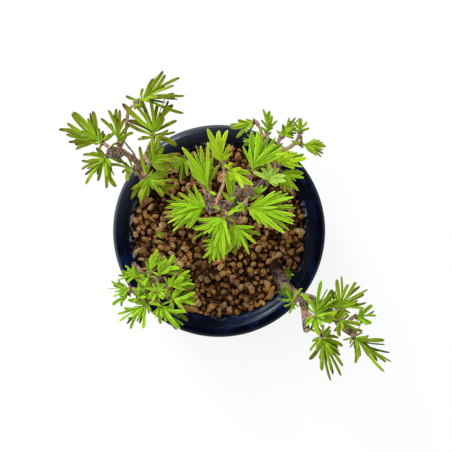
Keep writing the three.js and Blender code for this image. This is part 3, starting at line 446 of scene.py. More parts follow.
class WoodSettings(bpy.types.PropertyGroup):
    """Sizes and colours of trunks, limbs and buds."""
    fineness: length_property("Fineness", 0.34, "Size of the steps in which limbs grow into each other")
    ridge: length_property("Ridge", 0.42, "Height of the bark's lengthwise ridges")
    bark: colour_property("Bark", "#9d8676", "Bark on the ridges")
    # The fissures' colour is partly the dark inner bark and partly painted shade.
    fissure_and_shade: colour_property("Fissure", "#170e0a", "Bark in the fissures")
    shoot: colour_property("Shoot", "#eab78e", "The thin bark of this year's shoot")
    scale: colour_property("Bud Scale", "#d0905c", "This year's scales round the buds")
    old_scale: colour_property("Old Scale", "#63504a", "Scales of the years before")
    sawn: colour_property("Sawn Wood", "#dcc094", "Wood at a sawn end")


class FoliageSettings(bpy.types.PropertyGroup):
    """Sizes and colours of the leaf sprays."""
    width: length_property("Leaflet Width", 1.95, "Width of a leaflet of a few weeks")
    thickness: length_property("Leaflet Thickness", 0.34, "Thickness of a leaflet at its middle")
    extra: bpy.props.FloatProperty(
        name="Extra Leaflets", description="How many leaflets stand above and below each fan",
        default=1, min=0, max=2)
    seed: bpy.props.IntProperty(name="Seed", description="Another set of leaflets", default=7, min=0)
    mature: colour_property("Mature", "#90c40c", "Older leaflets")
    fresh: colour_property("Fresh", "#9ad800", "Leaflets of a few weeks")
    budding: colour_property("Budding", "#bce40a", "Leaflets that have just opened")
    young: colour_property("Young", "#d4ff70", "The youngest leaflets")
    # The pale colour below is a painted highlight along each leaflet's edges and middle.
    margin: colour_property("Margin", "#e4f458", "The pale margin and middle line")
    bronze: colour_property("Bronze", "#87741a", "The sun-bronzed outer half of older leaflets")
    burnt: colour_property("Burnt", "#4a381f", "The very tips of older leaflets")


class StageSettings(bpy.types.PropertyGroup):
    """Floor, lights and camera."""
    floor: colour_property("Floor", "#6a6a6a", "The pale floor's own grey, under its glow")
    glow: number_property("Glow", 0.85, "How bright the floor is by itself")
    height: length_property("Camera Height", 498, "The camera's height over the floor")
    lens: number_property("Lens", 63.3, "Focal length in millimetres", least=10)
    key: number_property("Key", 38, "Power of the main softbox in watts")
    fill: number_property("Fill", 8, "Power of each fill softbox in watts")
    window: number_property("Window", 54, "Power of the window that shows in the glaze")
    ambient: number_property("Ambient", 0.42, "Strength of the room's light")
    gloss: number_property("Gloss", 0.4, "Strength of the room's bright side in reflections")


class BonsaiSettings(bpy.types.PropertyGroup):
    """Everything that can be changed before the pieces are made."""
    pot: bpy.props.PointerProperty(type=PotSettings)
    soil: bpy.props.PointerProperty(type=SoilSettings)
    wood: bpy.props.PointerProperty(type=WoodSettings)
    foliage: bpy.props.PointerProperty(type=FoliageSettings)
    stage: bpy.props.PointerProperty(type=StageSettings)


# Node trees, shapes and pieces


def set_inputs(tree, node, inputs):
    """Give a node its inputs: each is a value, or the socket or the node that feeds it."""
    for name, given in inputs.items():
        if isinstance(given, bpy.types.Node):
            given = next(socket for socket in given.outputs if socket.enabled)
        if isinstance(given, bpy.types.NodeSocket):
            tree.links.new(given, node.inputs[name])
        else:
            node.inputs[name].default_value = given


def add_node(tree, kind, inputs=None, **settings):
    """Add a node with its settings and its inputs, by name or number. A Map Range takes input 0
    from the range 1 to 2 to the range 3 to 4, and no further. A colour Mix has the share of its
    second colour as input 0 and the two colours as 6 and 7. A Random Value has its seed as 8."""
    node = tree.nodes.new(kind)
    for name, value in settings.items():
        setattr(node, name, value)
    set_inputs(tree, node, inputs or {})
    return node


def new_material(name):
    """A material with its node tree, its surface shader and its Object coordinates."""
    material = bpy.data.materials.new(name)
    material.use_nodes = True
    tree = material.node_tree
    place = add_node(tree, "ShaderNodeTexCoord").outputs["Object"]
    return material, tree, tree.nodes["Principled BSDF"], place


def new_tree(name, sockets):
    """A geometry node tree with named inputs, each a name, a kind and a default."""
    tree = bpy.data.node_groups.new(name, "GeometryNodeTree")
    for way in ("INPUT", "OUTPUT"):
        tree.interface.new_socket("Geometry", in_out=way, socket_type="NodeSocketGeometry")
    for label, kind, default in sockets:
        socket = tree.interface.new_socket(label, in_out="INPUT", socket_type=kind)
        if default is not None:
            socket.default_value = default
    given = add_node(tree, "NodeGroupInput").outputs
    return tree, given


def end_tree(tree, result, material):
    """Close a tree as plain geometry with its material."""
    plain = add_node(tree, "GeometryNodeRealizeInstances", {"Geometry": result})
    dressed = add_node(tree, "GeometryNodeSetMaterial", {"Geometry": plain, "Material": material})
    add_node(tree, "NodeGroupOutput", {"Geometry": dressed})


def run_tree(piece, tree, values):
    """Run a node tree on a piece and keep the result as the piece's plain mesh."""
    modifier = piece.modifiers.new(tree.name, "NODES")
    modifier.node_group = tree
    for item in tree.interface.items_tree:
        if item.item_type == "SOCKET" and item.in_out == "INPUT" and item.name in values:
            modifier[item.identifier] = values[item.name]
    keep_result(piece)


def keep_result(piece):
    """Turn a piece and its live modifiers into a plain mesh."""
    bpy.context.view_layer.update()
    graph = bpy.context.evaluated_depsgraph_get()
    mesh = bpy.data.meshes.new_from_object(piece.evaluated_get(graph))
    piece.modifiers.clear()
    old = piece.data
    piece.data = mesh
    bpy.data.meshes.remove(old)
    mesh.name = piece.name


def new_piece(name, mesh, material=None):
    piece = bpy.data.objects.new(name, mesh)
    bpy.context.scene.collection.objects.link(piece)
    if material:
        piece.data.materials.append(material)
    return piece


def mesh_from(name, corners, faces):
    mesh = bpy.data.meshes.new(name)
    mesh.from_pydata(corners, [], faces)
    mesh.validate()
    mesh.update()
    return mesh


def keep_mesh(name, made):
    """A finished bmesh as a mesh."""
    mesh = bpy.data.meshes.new(name)
    made.to_mesh(mesh)
    made.free()
    return mesh


def face_out(mesh):
    """Turn all faces of a closed mesh outwards."""
    made = bmesh.new()
    made.from_mesh(mesh)
    bmesh.ops.recalc_face_normals(made, faces=made.faces)
    made.to_mesh(mesh)
    made.free()


def give(mesh, name, kind, values):
    """Store one value for each point of a mesh."""
    field = "vector" if kind == "FLOAT_VECTOR" else "value"
    attribute = mesh.attributes.new(name, kind, "POINT")
    for item, value in zip(attribute.data, values):
        setattr(item, field, value)


def settle(piece, slot, *nodes):
    """A finished piece rides on the body and stands for its nodes, which are hidden. The slot is not used."""
    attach(piece, "root")
    if nodes:
        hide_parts(*nodes)


def shape_collection(name, meshes):
    """Shapes for a node tree to place, each an object with its mesh's name."""
    shapes = bpy.data.collections.new(name)
    for mesh in meshes:
        shapes.objects.link(bpy.data.objects.new(mesh.name, mesh))
    return shapes


def drop_shapes(collection):
    """Remove shapes that a finished piece no longer needs."""
    for shape in list(collection.objects):
        mesh = shape.data
        bpy.data.objects.remove(shape)
        bpy.data.meshes.remove(mesh)
    bpy.data.collections.remove(collection)


def scatter(tree, given, points, seed, turn, size):
    """Put one of the tree's given shapes, drawn at random, on every point, turned and sized."""
    shapes = add_node(
        tree, "GeometryNodeCollectionInfo",
        {"Collection": given["Shapes"], "Separate Children": True, "Reset Children": True})
    last = add_node(tree, "ShaderNodeMath", {0: given["Forms"], 1: 1}, operation="SUBTRACT")
    form = add_node(tree, "FunctionNodeRandomValue", {4: 0, 5: last, 8: seed}, data_type="INT")
    return add_node(
        tree, "GeometryNodeInstanceOnPoints",
        {"Points": points, "Instance": shapes, "Pick Instance": True, "Instance Index": form,
         "Rotation": turn, "Scale": size})


def shapes_on_marks():
    """A tree that puts a shape on every mark of a mesh, turned and sized by the mark's own
    attributes, and keeps the rest of the mesh."""
    tree, given = new_tree("shapes_on_marks", [
        ("Shapes", "NodeSocketCollection", None), ("Material", "NodeSocketMaterial", None),
        ("Forms", "NodeSocketInt", 1), ("Seed", "NodeSocketInt", 0)])
    marked, along, up, size = (
        add_node(tree, "GeometryNodeInputNamedAttribute", {"Name": name}, data_type=kind)
        for name, kind in (("mark", "BOOLEAN"), ("along", "FLOAT_VECTOR"), ("up", "FLOAT_VECTOR"),
                           ("size", "FLOAT_VECTOR")))
    parts = add_node(
        tree, "GeometryNodeSeparateGeometry", {"Geometry": given["Geometry"], "Selection": marked}).outputs
    turn = add_node(
        tree, "FunctionNodeAxesToRotation", {"Primary Axis": along, "Secondary Axis": up},
        primary_axis="X", secondary_axis="Z")
    spread = scatter(tree, given, parts["Selection"], given["Seed"], turn, size)
    whole = add_node(tree, "GeometryNodeJoinGeometry", {"Geometry": parts["Inverted"]})
    set_inputs(tree, whole, {"Geometry": spread})
    end_tree(tree, whole, given["Material"])
    return tree


# The pot


def rounded_profile(points, sharp, steps):
    """A smooth line through the section's points that stays sharp at its edges."""
    line = []
    count = len(points)
    flat = [Vector((radius, height, 0)) for radius, height in points]
    for here in range(count):
        after = (here + 1) % count
        if here in sharp and after in sharp:
            line.append(flat[here])
            continue
        span = (flat[after] - flat[here]).length / 3
        ways = []
        for i in (here, after):
            if i in sharp:
                ways.append((flat[after] - flat[here]).normalized())
            else:
                ways.append((flat[(i + 1) % count] - flat[i - 1]).normalized())
        curve = geometry.interpolate_bezier(
            flat[here], flat[here] + ways[0] * span, flat[after] - ways[1] * span, flat[after],
            steps + 1)
        line += curve[:-1]
    return line


def turned_body():
    """A tree that sweeps a section, drawn as radius and height, round the pot's axis."""
    tree, given = new_tree("turned_body", [
        ("Sides", "NodeSocketInt", 180), ("Radius", "NodeSocketFloat", 0.06),
        ("Material", "NodeSocketMaterial", None)])
    section = add_node(tree, "GeometryNodeMeshToCurve", {"Mesh": given["Geometry"]})
    path = add_node(
        tree, "GeometryNodeCurvePrimitiveCircle", {"Resolution": given["Sides"], "Radius": given["Radius"]},
        mode="RADIUS")
    body = add_node(tree, "GeometryNodeCurveToMesh", {"Curve": path, "Profile Curve": section})
    even = add_node(tree, "GeometryNodeSetShadeSmooth", {"Geometry": body})
    end_tree(tree, even, given["Material"])
    return tree


def glazed_stoneware(look):
    """Stoneware, wheel-thrown and dipped in a glossy navy glaze: deep and nearly black, bluer where
    it runs thin, with a painted slate sheen on the outer rim towards one side, bare clay at the foot,
    and a broken crust of lime at the soil line."""
    material, tree, shader, place = new_material("navy_glazed_stoneware")
    centred = add_node(tree, "ShaderNodeMapping", {"Vector": place, "Location": -POT_FOOT})
    split = add_node(tree, "ShaderNodeSeparateXYZ", {"Vector": centred}).outputs
    height = split["Z"]
    level = add_node(tree, "ShaderNodeCombineXYZ", {"X": split["X"], "Y": split["Y"]})
    radius = add_node(tree, "ShaderNodeVectorMath", {0: level}, operation="LENGTH")
    runs, patches, specks, grit, ripple = (
        add_node(
            tree, "ShaderNodeTexNoise",
            {"Vector": centred, "Scale": 1 / size, "Detail": detail, "Roughness": roughness})
        for size, detail, roughness in (
            (11 * MM, 2, 0.55), (15 * MM, 2, 0.55), (3.2 * MM, 3, 0.6), (0.8 * MM, 3, 0.55),
            (4 * MM, 2, 0.55)))

    thin = add_node(tree, "ShaderNodeMapRange", {0: runs, 1: 0.48, 2: 0.78})
    deep = add_node(tree, "ShaderNodeMix", {0: thin, 6: look.glaze, 7: look.glaze_thin}, data_type="RGBA")
    # Painted reflection: a slate sheen on the outer rim, strongest on one side.
    sheen_side = add_node(
        tree, "ShaderNodeVectorMath", {0: centred, 1: (-0.45, 0.9, 0)}, operation="DOT_PRODUCT")
    fired = add_node(tree, "ShaderNodeMapRange", {0: sheen_side, 1: 18 * MM, 2: 56 * MM, 4: 0.85})
    outside = add_node(tree, "ShaderNodeMapRange", {0: radius, 1: 51 * MM, 2: 53 * MM})
    sheen_mask = add_node(tree, "ShaderNodeMath", {0: fired, 1: outside}, operation="MULTIPLY")
    glaze = add_node(tree, "ShaderNodeMix", {0: sheen_mask, 6: deep, 7: look.painted_sheen}, data_type="RGBA")

    crust = add_node(tree, "ShaderNodeMapRange", {0: radius, 1: 51.6 * MM, 2: 49.8 * MM})
    for value, low, high, least in (
            (height, 40 * MM, 41 * MM, 0), (patches, 0.5, 0.6, 0), (specks, 0.46, 0.62, 0),
            (split["Y"], -38 * MM, -22 * MM, 0.12)):
        mask = add_node(tree, "ShaderNodeMapRange", {0: value, 1: low, 2: high, 3: least})
        crust = add_node(tree, "ShaderNodeMath", {0: crust, 1: mask}, operation="MULTIPLY")
    limed = add_node(tree, "ShaderNodeMix", {0: crust, 6: glaze, 7: look.lime}, data_type="RGBA")

    bare = add_node(tree, "ShaderNodeMapRange", {0: height, 1: 4.3 * MM, 2: 3.4 * MM})
    clay = add_node(
        tree, "ShaderNodeMix", {0: grit, 6: look.clay, 7: colour("#4d3527")}, data_type="RGBA")
    skin = add_node(tree, "ShaderNodeMix", {0: bare, 6: limed, 7: clay}, data_type="RGBA")
    dull = add_node(tree, "ShaderNodeMath", {0: crust, 1: bare}, operation="MAXIMUM")
    rough = add_node(tree, "ShaderNodeMapRange", {0: dull, 3: 0.27, 4: 0.85})
    bumps = add_node(tree, "ShaderNodeBump", {"Height": ripple, "Distance": 0.08 * MM})
    set_inputs(tree, shader, {"Base Color": skin, "Roughness": rough, "IOR": 1.5, "Normal": bumps})
    return material


def moulded_mesh_plastic(look):
    """Polypropylene, moulded: dull, nearly black, with a fine even grain from the mould."""
    material, tree, shader, place = new_material("moulded_polypropylene")
    # A mould's grain is finer than this, and is drawn as coarse as it needs to show.
    grain = add_node(
        tree, "ShaderNodeTexNoise",
        {"Vector": place, "Scale": 1 / (0.6 * MM), "Detail": 3, "Roughness": 0.55})
    body = add_node(
        tree, "ShaderNodeMix", {0: grain, 6: look.mesh, 7: colour("#2c3134")}, data_type="RGBA")
    bumps = add_node(tree, "ShaderNodeBump", {"Height": grain, "Distance": 0.05 * MM})
    set_inputs(tree, shader, {"Base Color": body, "Roughness": 0.62, "IOR": 1.49, "Normal": bumps})
    return material


def notched(pot):
    """Cut the water notches through the foot ring."""
    cutters = []
    for turn in FOOT_NOTCHES:
        made = bmesh.new()
        bmesh.ops.create_cube(made, size=1)
        sized = Matrix.Diagonal((POT_RADIUS * MM, NOTCH_WIDTH * MM, 2 * NOTCH_HEIGHT * MM, 1))
        out = Matrix.Translation((POT_RADIUS / 2 * MM, 0, 0))
        round_foot = Matrix.Translation(POT_FOOT) @ Matrix.Rotation(math.tau * turn, 4, "Z")
        bmesh.ops.transform(made, matrix=round_foot @ out @ sized, verts=made.verts)
        cutter = new_piece("notch", keep_mesh("notch", made))
        cut = pot.modifiers.new("notch", "BOOLEAN")
        cut.operation = "DIFFERENCE"
        cut.object = cutter
        cutters.append(cutter)
    keep_result(pot)
    for cutter in cutters:
        bpy.data.objects.remove(cutter)


class BONSAI_OT_turn_pot(bpy.types.Operator):
    """Turn the glazed pot and dress the drain mesh in it"""
    bl_idname = "bonsai.turn_pot"
    bl_label = "Turn Pot"

    def execute(self, context):
        look = context.scene.bonsai.pot
        line = rounded_profile(POT_PROFILE, SHARP_POINTS, steps=5)
        corners = [((point.x - POT_RADIUS) * MM, -point.y * MM, 0) for point in line]
        count = len(corners)
        section = bpy.data.meshes.new("pot_section")
        section.from_pydata(corners, [(i, (i + 1) % count) for i in range(count)], [])
        pot = new_piece("glazed_pot", section)
        run_tree(pot, turned_body(), {
            "Sides": look.sides, "Radius": POT_RADIUS * MM, "Material": glazed_stoneware(look)})
        pot.data.transform(Matrix.Translation(POT_FOOT))
        face_out(pot.data)
        notched(pot)
        settle(pot, "pot_glaze", "pot")

        drain_mesh = frame["nodes"]["drain_mesh"].data
        drain_mesh.materials.clear()
        drain_mesh.materials.append(moulded_mesh_plastic(look))
        return {"FINISHED"}


# The soil


def fired_clay(look):
    """Clay granules, dug and baked hard: dull, porous, brown to ochre, each with its own tone, darker
    in broad random patches, and darkened to nearly black below the top by painted shade."""
    material, tree, shader, place = new_material("fired_clay_granules")
    tone = add_node(tree, "ShaderNodeAttribute", attribute_name="tone").outputs["Fac"]
    many = add_node(tree, "ShaderNodeMath", {0: tone, 1: 13}, operation="MULTIPLY")
    kind = add_node(tree, "ShaderNodeMath", {0: many}, operation="FRACT")
    grain = look.dark
    for value, low, high, most, tint in (
            (tone, 0, 0.45, 1, look.middle), (tone, 0.45, 1, 1, look.light),
            (kind, 0.72, 0.78, 0.6, look.ochre), (kind, 0.28, 0.22, 0.55, look.russet)):
        share = add_node(tree, "ShaderNodeMapRange", {0: value, 1: low, 2: high, 4: most})
        grain = add_node(tree, "ShaderNodeMix", {0: share, 6: grain, 7: tint}, data_type="RGBA")

    # The pores are finer than this, and are drawn as coarse as they need to show.
    pitted = add_node(
        tree, "ShaderNodeTexNoise",
        {"Vector": place, "Scale": 1 / (0.9 * MM), "Detail": 4, "Roughness": 0.7})
    pores = add_node(tree, "ShaderNodeMapRange", {0: pitted, 1: 0.35, 2: 0.62})
    porous = add_node(tree, "ShaderNodeMix", {0: pores, 6: look.dark, 7: grain}, data_type="RGBA")
    # Broad random patches of darker granules.
    patch_noise = add_node(
        tree, "ShaderNodeTexNoise",
        {"Vector": place, "Scale": 1 / (24 * MM), "Detail": 2, "Roughness": 0.55})
    dark_patches = add_node(tree, "ShaderNodeMapRange", {0: patch_noise, 1: 0.5, 2: 0.62, 4: 0.5})
    patched = add_node(
        tree, "ShaderNodeMix", {0: dark_patches, 6: porous, 7: colour("#331b0d")}, data_type="RGBA")
    height = add_node(tree, "ShaderNodeSeparateXYZ", {"Vector": place}).outputs["Z"]
    # Painted shade: a granule turns to the depth colour a granule's depth below the top.
    depth_shade = add_node(
        tree, "ShaderNodeMapRange",
        {0: height, 1: (SOIL_TOP + 0.7) * MM, 2: (SOIL_TOP - 0.9) * MM, 4: 0.98})
    shaded = add_node(tree, "ShaderNodeMix", {0: depth_shade, 6: patched, 7: look.depth}, data_type="RGBA")
    bumps = add_node(tree, "ShaderNodeBump", {"Height": pores, "Distance": 0.25 * MM})
    set_inputs(tree, shader, {
        "Base Color": shaded, "Roughness": 0.93, "Specular IOR Level": 0.08, "Normal": bumps})
    return material


def shaded_bed(look):
    """The granules under the top layers: seen only as the dark between those above."""
    material, tree, shader, place = new_material("shaded_clay_bed")
    crumbs = add_node(
        tree, "ShaderNodeTexNoise",
        {"Vector": place, "Scale": 1 / (2.5 * MM), "Detail": 4, "Roughness": 0.55})
    body = add_node(tree, "ShaderNodeMix", {0: crumbs, 6: look.depth, 7: look.dark}, data_type="RGBA")
    bumps = add_node(tree, "ShaderNodeBump", {"Height": crumbs, "Distance": 0.8 * MM})
    set_inputs(tree, shader, {"Base Color": body, "Roughness": 1, "Normal": bumps})
    return material


def granule_mesh(number, draw):
    """A granule about a unit wide: a lump with worn flats."""
    made = bmesh.new()
    bmesh.ops.create_icosphere(made, subdivisions=2, radius=0.56)
    stretch = Vector((draw.uniform(0.95, 1.22), draw.uniform(0.78, 1), draw.uniform(0.65, 0.9)))
    flats = [(Vector((draw.gauss(0, 1), draw.gauss(0, 1), draw.gauss(0, 1))).normalized(),
              draw.uniform(0.27, 0.44)) for _ in range(9)]
    for corner in made.verts:
        place = corner.co.copy()
        for way, reach in flats:
            over = place.dot(way) - reach
            if over > 0:
                place -= way * over
        place *= 1 + 0.2 * noise.noise(corner.co * 5 + Vector((number * 7, 0, 0)))
        corner.co = place * stretch
    return keep_mesh(f"granule_{number}", made)


def granule_field():
    """A tree that lays granules on a surface, a few layers deep, each layer lower and darker with painted
    shade.
    """
    tree, given = new_tree("granule_field", [
        ("Granule", "NodeSocketFloat", 0.004), ("Spacing", "NodeSocketFloat", 0.003),
        ("Forms", "NodeSocketInt", 1), ("Shapes", "NodeSocketCollection", None),
        ("Seed", "NodeSocketInt", 0), ("Material", "NodeSocketMaterial", None)])
    full_turn = (6.3, 6.3, 6.3)
    whole = add_node(tree, "GeometryNodeJoinGeometry")
    for layer in range(GRAIN_LAYERS):
        seed = add_node(tree, "ShaderNodeMath", {0: given["Seed"], 1: 10 * layer}, operation="ADD")
        places = add_node(
            tree, "GeometryNodeDistributePointsOnFaces",
            {"Mesh": given["Geometry"], "Distance Min": given["Spacing"], "Density Max": GRAIN_DENSITY,
             "Seed": seed},
            distribute_method="POISSON")
        low, high = ((rise - LAYER_DROP * layer) * MM for rise in GRAIN_RISES)
        jitter = add_node(
            tree, "FunctionNodeRandomValue", {0: (0, 0, low), 1: (0, 0, high), 8: seed},
            data_type="FLOAT_VECTOR")
        laid = add_node(tree, "GeometryNodeSetPosition", {"Geometry": places, "Offset": jitter})
        turn = add_node(
            tree, "FunctionNodeRandomValue", {0: (0, 0, 0), 1: full_turn, 8: seed},
            data_type="FLOAT_VECTOR")
        swell = add_node(
            tree, "FunctionNodeRandomValue", {2: SMALLEST_GRAIN, 3: LARGEST_GRAIN, 8: seed},
            data_type="FLOAT")
        size = add_node(tree, "ShaderNodeMath", {0: swell, 1: given["Granule"]}, operation="MULTIPLY")
        spread = scatter(tree, given, laid, seed, turn, size)
        # Painted shade: a lower layer draws its tones from a darker range.
        tone = add_node(
            tree, "FunctionNodeRandomValue", {2: 0, 3: 1 - LOWER_LAYER_SHADE * layer, 8: seed},
            data_type="FLOAT")
        toned = add_node(
            tree, "GeometryNodeStoreNamedAttribute",
            {"Geometry": spread, "Name": "tone", "Value": tone}, data_type="FLOAT", domain="INSTANCE")
        set_inputs(tree, whole, {"Geometry": toned})
    end_tree(tree, whole, given["Material"])
    return tree


def turned_mesh(name, profile, sides):
    """A closed turned shape from a section that starts and ends on the axis."""
    made = bmesh.new()
    corners = [made.verts.new(metres((radius, 0, height))) for radius, height in profile]
    edges = [made.edges.new(pair) for pair in zip(corners, corners[1:])]
    bmesh.ops.spin(
        made, geom=corners + edges, cent=POT_FOOT, axis=(0, 0, 1), angle=math.tau, steps=sides,
        use_merge=False, use_duplicate=False)
    bmesh.ops.remove_doubles(made, verts=made.verts, dist=1e-6)
    bmesh.ops.recalc_face_normals(made, faces=made.faces)
    return keep_mesh(name, made)


class BONSAI_OT_fill_soil(bpy.types.Operator):
    """Fill the pot and lay the granules on top"""
    bl_idname = "bonsai.fill_soil"
    bl_label = "Fill Soil"

    def execute(self, context):
        look = context.scene.bonsai.soil
        body = turned_mesh("granule_bed", SOIL_PROFILE, sides=96)
        bed = new_piece("granule_bed", body, shaded_bed(look))
        settle(bed, "clay_granules", "soil")

        made = bmesh.new()
        bmesh.ops.create_circle(
            made, cap_ends=True, radius=GRAIN_BED_RADIUS * MM, segments=64,
            matrix=Matrix.Translation(metres((0, 0, GRAIN_BED_HEIGHT))))
        granules = new_piece("granules", keep_mesh("granules", made))
        draw = random.Random(look.seed)
        shapes = shape_collection("granule_shapes", [granule_mesh(i, draw) for i in range(GRAIN_FORMS)])
        run_tree(granules, granule_field(), {
            "Granule": look.grain, "Spacing": look.spacing, "Forms": GRAIN_FORMS, "Shapes": shapes,
            "Seed": look.seed, "Material": fired_clay(look)})
        drop_shapes(shapes)
        granules.data.shade_smooth()
        granules.data.set_sharp_from_angle(angle=math.radians(28))
        settle(granules, "clay_granules")
        return {"FINISHED"}


# The wood


def path_of(points, radii, step):
    """Places along a smooth line through the points, each with its direction and radius."""
    corners = [metres(point) for point in points]
    last = len(corners) - 1
    ways = [(corners[min(i + 1, last)] - corners[max(i - 1, 0)]).normalized() for i in range(last + 1)]
    places = []
    for i in range(last):
        reach = (corners[i + 1] - corners[i]).length
        count = max(2, round(reach / step))
        handle = reach / 3
        line = geometry.interpolate_bezier(
            corners[i], corners[i] + ways[i] * handle, corners[i + 1] - ways[i + 1] * handle, corners[i + 1],
            count + 1)
        for j in range(count + (i == last - 1)):
            part = j / count
            ahead = line[min(j + 1, count)] - line[max(j - 1, 0)]
            radius = (radii[i] * (1 - part) + radii[i + 1] * part) * MM
            places.append((line[j], ahead.normalized(), radius))
    return places


def frame_along(places):
    """Two directions across the line at each place, which turn as little as they can."""
    across = places[0][1].orthogonal().normalized()
    frames = []
    for _, ahead, _ in places:
        across = (across - ahead * across.dot(ahead)).normalized()
        frames.append((across, ahead.cross(across)))
    return frames


def add_tube(made, places, sides):
    """A closed tube over the places, in a bmesh."""
    rings = []
    for (centre, _, radius), (across, other) in zip(places, frame_along(places)):
        ring = []
        for side in range(sides):
            angle = math.tau * side / sides
            out = across * math.cos(angle) + other * math.sin(angle)
            ring.append(made.verts.new(centre + out * radius))
        rings.append(ring)
    for low, high in zip(rings, rings[1:]):
        for side in range(sides):
            beside = (side + 1) % sides
            made.faces.new((low[side], low[beside], high[beside], high[side]))
    made.faces.new(reversed(rings[0]))
    made.faces.new(rings[-1])


def heading(aim, rise):
    """A direction from its compass angle and its rise, in degrees."""
    turn, lift = math.radians(aim), math.radians(rise)
    return Vector((math.cos(turn) * math.cos(lift), math.sin(turn) * math.cos(lift), math.sin(lift)))


def spur_path(spray):
    """The line of a spray's spur, from the wood to its hub."""
    neck = Vector(spray.hub) - heading(spray.aim, spray.rise) * SPUR_NECK
    return path_of([spray.spur, tuple(neck), spray.hub], SPUR_RADII, SPUR_STEP)


def grown_bark(look):
    """Young bark, grown in thin lengthwise fibres: dull grey-brown ridges with dark fissures, partly
    painted shade, paler flecks and warmer patches, darkened to nearly black near the soil by painted
    shade, and smoother, warmer bark on the new shoot."""
    material, tree, shader, place = new_material("dawn_redwood_bark")
    ridge = add_node(tree, "ShaderNodeAttribute", attribute_name="ridge").outputs["Fac"]
    new = add_node(tree, "ShaderNodeAttribute", attribute_name="shoot").outputs["Fac"]
    height = add_node(tree, "ShaderNodeSeparateXYZ", {"Vector": place}).outputs["Z"]
    flecks = add_node(
        tree, "ShaderNodeTexNoise",
        {"Vector": place, "Scale": 1 / (1.3 * MM), "Detail": 4, "Roughness": 0.65})
    patches = add_node(
        tree, "ShaderNodeTexNoise",
        {"Vector": place, "Scale": 1 / (3.5 * MM), "Detail": 3, "Roughness": 0.55})
    lit = add_node(tree, "ShaderNodeMath", {0: ridge, 1: flecks}, operation="MULTIPLY")

    # Painted shade: the wood darkens to near black towards the soil, brown-red in random patches.
    base_shade_tint = add_node(tree, "ShaderNodeMapRange", {0: patches, 1: 0.5, 2: 0.6})
    base_shade = add_node(
        tree, "ShaderNodeMix", {0: base_shade_tint, 6: colour("#150804"), 7: colour("#46200f")},
        data_type="RGBA")
    # Ridge tops take the bark colour; the fissures between are partly dark bark and partly painted shade.
    aged = look.fissure_and_shade
    for value, low, high, most, tint in (
            (lit, 0.13, 0.36, 1, look.bark), (patches, 0.52, 0.66, 0.6, colour("#9a6a50")),
            (flecks, 0.62, 0.7, 0.75, colour("#d9cabf")), (height, 80 * MM, 58 * MM, 0.96, base_shade)):
        share = add_node(tree, "ShaderNodeMapRange", {0: value, 1: low, 2: high, 4: most})
        aged = add_node(tree, "ShaderNodeMix", {0: share, 6: aged, 7: tint}, data_type="RGBA")

    sunlit = add_node(tree, "ShaderNodeMapRange", {0: flecks, 1: 0.36, 2: 0.52})
    young = add_node(
        tree, "ShaderNodeMix", {0: sunlit, 6: colour("#9a6b4e"), 7: look.shoot}, data_type="RGBA")
    bark = add_node(tree, "ShaderNodeMix", {0: new, 6: aged, 7: young}, data_type="RGBA")
    bumps = add_node(tree, "ShaderNodeBump", {"Height": flecks, "Distance": 0.35 * MM})
    set_inputs(tree, shader, {
        "Base Color": bark, "Roughness": 0.88, "Specular IOR Level": 0.12, "Normal": bumps})
    return material


def sawn_wood(look):
    """A sawn twig end, dried: pale ochre with a darker pith, fine rings and a rim of bark."""
    material, tree, shader, place = new_material("sawn_twig_end")
    centre = add_node(tree, "ShaderNodeAttribute", attribute_name="off_centre").outputs["Fac"]
    rings = add_node(tree, "ShaderNodeMath", {0: centre, 1: 22}, operation="MULTIPLY")
    wave = add_node(tree, "ShaderNodeMath", {0: rings}, operation="SINE")
    wood = look.sawn
    for value, low, high, tint in (
            (wave, -1, 1, colour("#b99468")), (centre, 0.28, 0.1, colour("#8a6038")),
            (centre, 0.68, 0.82, colour("#2c1e16"))):
        share = add_node(tree, "ShaderNodeMapRange", {0: value, 1: low, 2: high})
        wood = add_node(tree, "ShaderNodeMix", {0: share, 6: wood, 7: tint}, data_type="RGBA")
    # The cut fibres are finer than this, and are drawn as coarse as they need to show.
    fibres = add_node(
        tree, "ShaderNodeTexNoise",
        {"Vector": place, "Scale": 1 / (0.5 * MM), "Detail": 3, "Roughness": 0.55})
    bumps = add_node(tree, "ShaderNodeBump", {"Height": fibres, "Distance": 0.1 * MM})
    set_inputs(tree, shader, {"Base Color": wood, "Roughness": 0.8, "Normal": bumps})
    return material


def dry_bud_scale(look):
    """Bud scales, dry and papery: tan while new and grey-brown when old, darkened at the root by
    painted shade, with a pale thin edge."""
    material, tree, shader, _ = new_material("dry_bud_scale")
    blade = add_node(tree, "ShaderNodeAttribute", attribute_name="blade").outputs["Vector"]
    split = add_node(tree, "ShaderNodeSeparateXYZ", {"Vector": blade}).outputs
    along = split["X"]
    off = add_node(tree, "ShaderNodeMath", {0: split["Y"]}, operation="ABSOLUTE")
    new = add_node(tree, "ShaderNodeAttribute", attribute_name="bronze").outputs["Fac"]
    body = add_node(tree, "ShaderNodeMix", {0: new, 6: look.old_scale, 7: look.scale}, data_type="RGBA")
    # Painted shade: each scale darkens towards its root, under the scales beside it.
    root = add_node(tree, "ShaderNodeMapRange", {0: along, 1: 0.72, 2: 0.4})
    root_shaded = add_node(tree, "ShaderNodeMix", {0: root, 6: body, 7: colour("#120907")}, data_type="RGBA")
    sides = add_node(tree, "ShaderNodeMapRange", {0: off, 1: 0.76, 2: 0.92, 4: 0.6})
    tip = add_node(tree, "ShaderNodeMapRange", {0: along, 1: 0.84, 2: 0.95})
    rim = add_node(tree, "ShaderNodeMath", {0: sides, 1: tip}, operation="MAXIMUM")
    edged = add_node(tree, "ShaderNodeMix", {0: rim, 6: root_shaded, 7: colour("#d8c6b6")}, data_type="RGBA")
    set_inputs(tree, shader, {"Base Color": edged, "Roughness": 0.5})
    return material


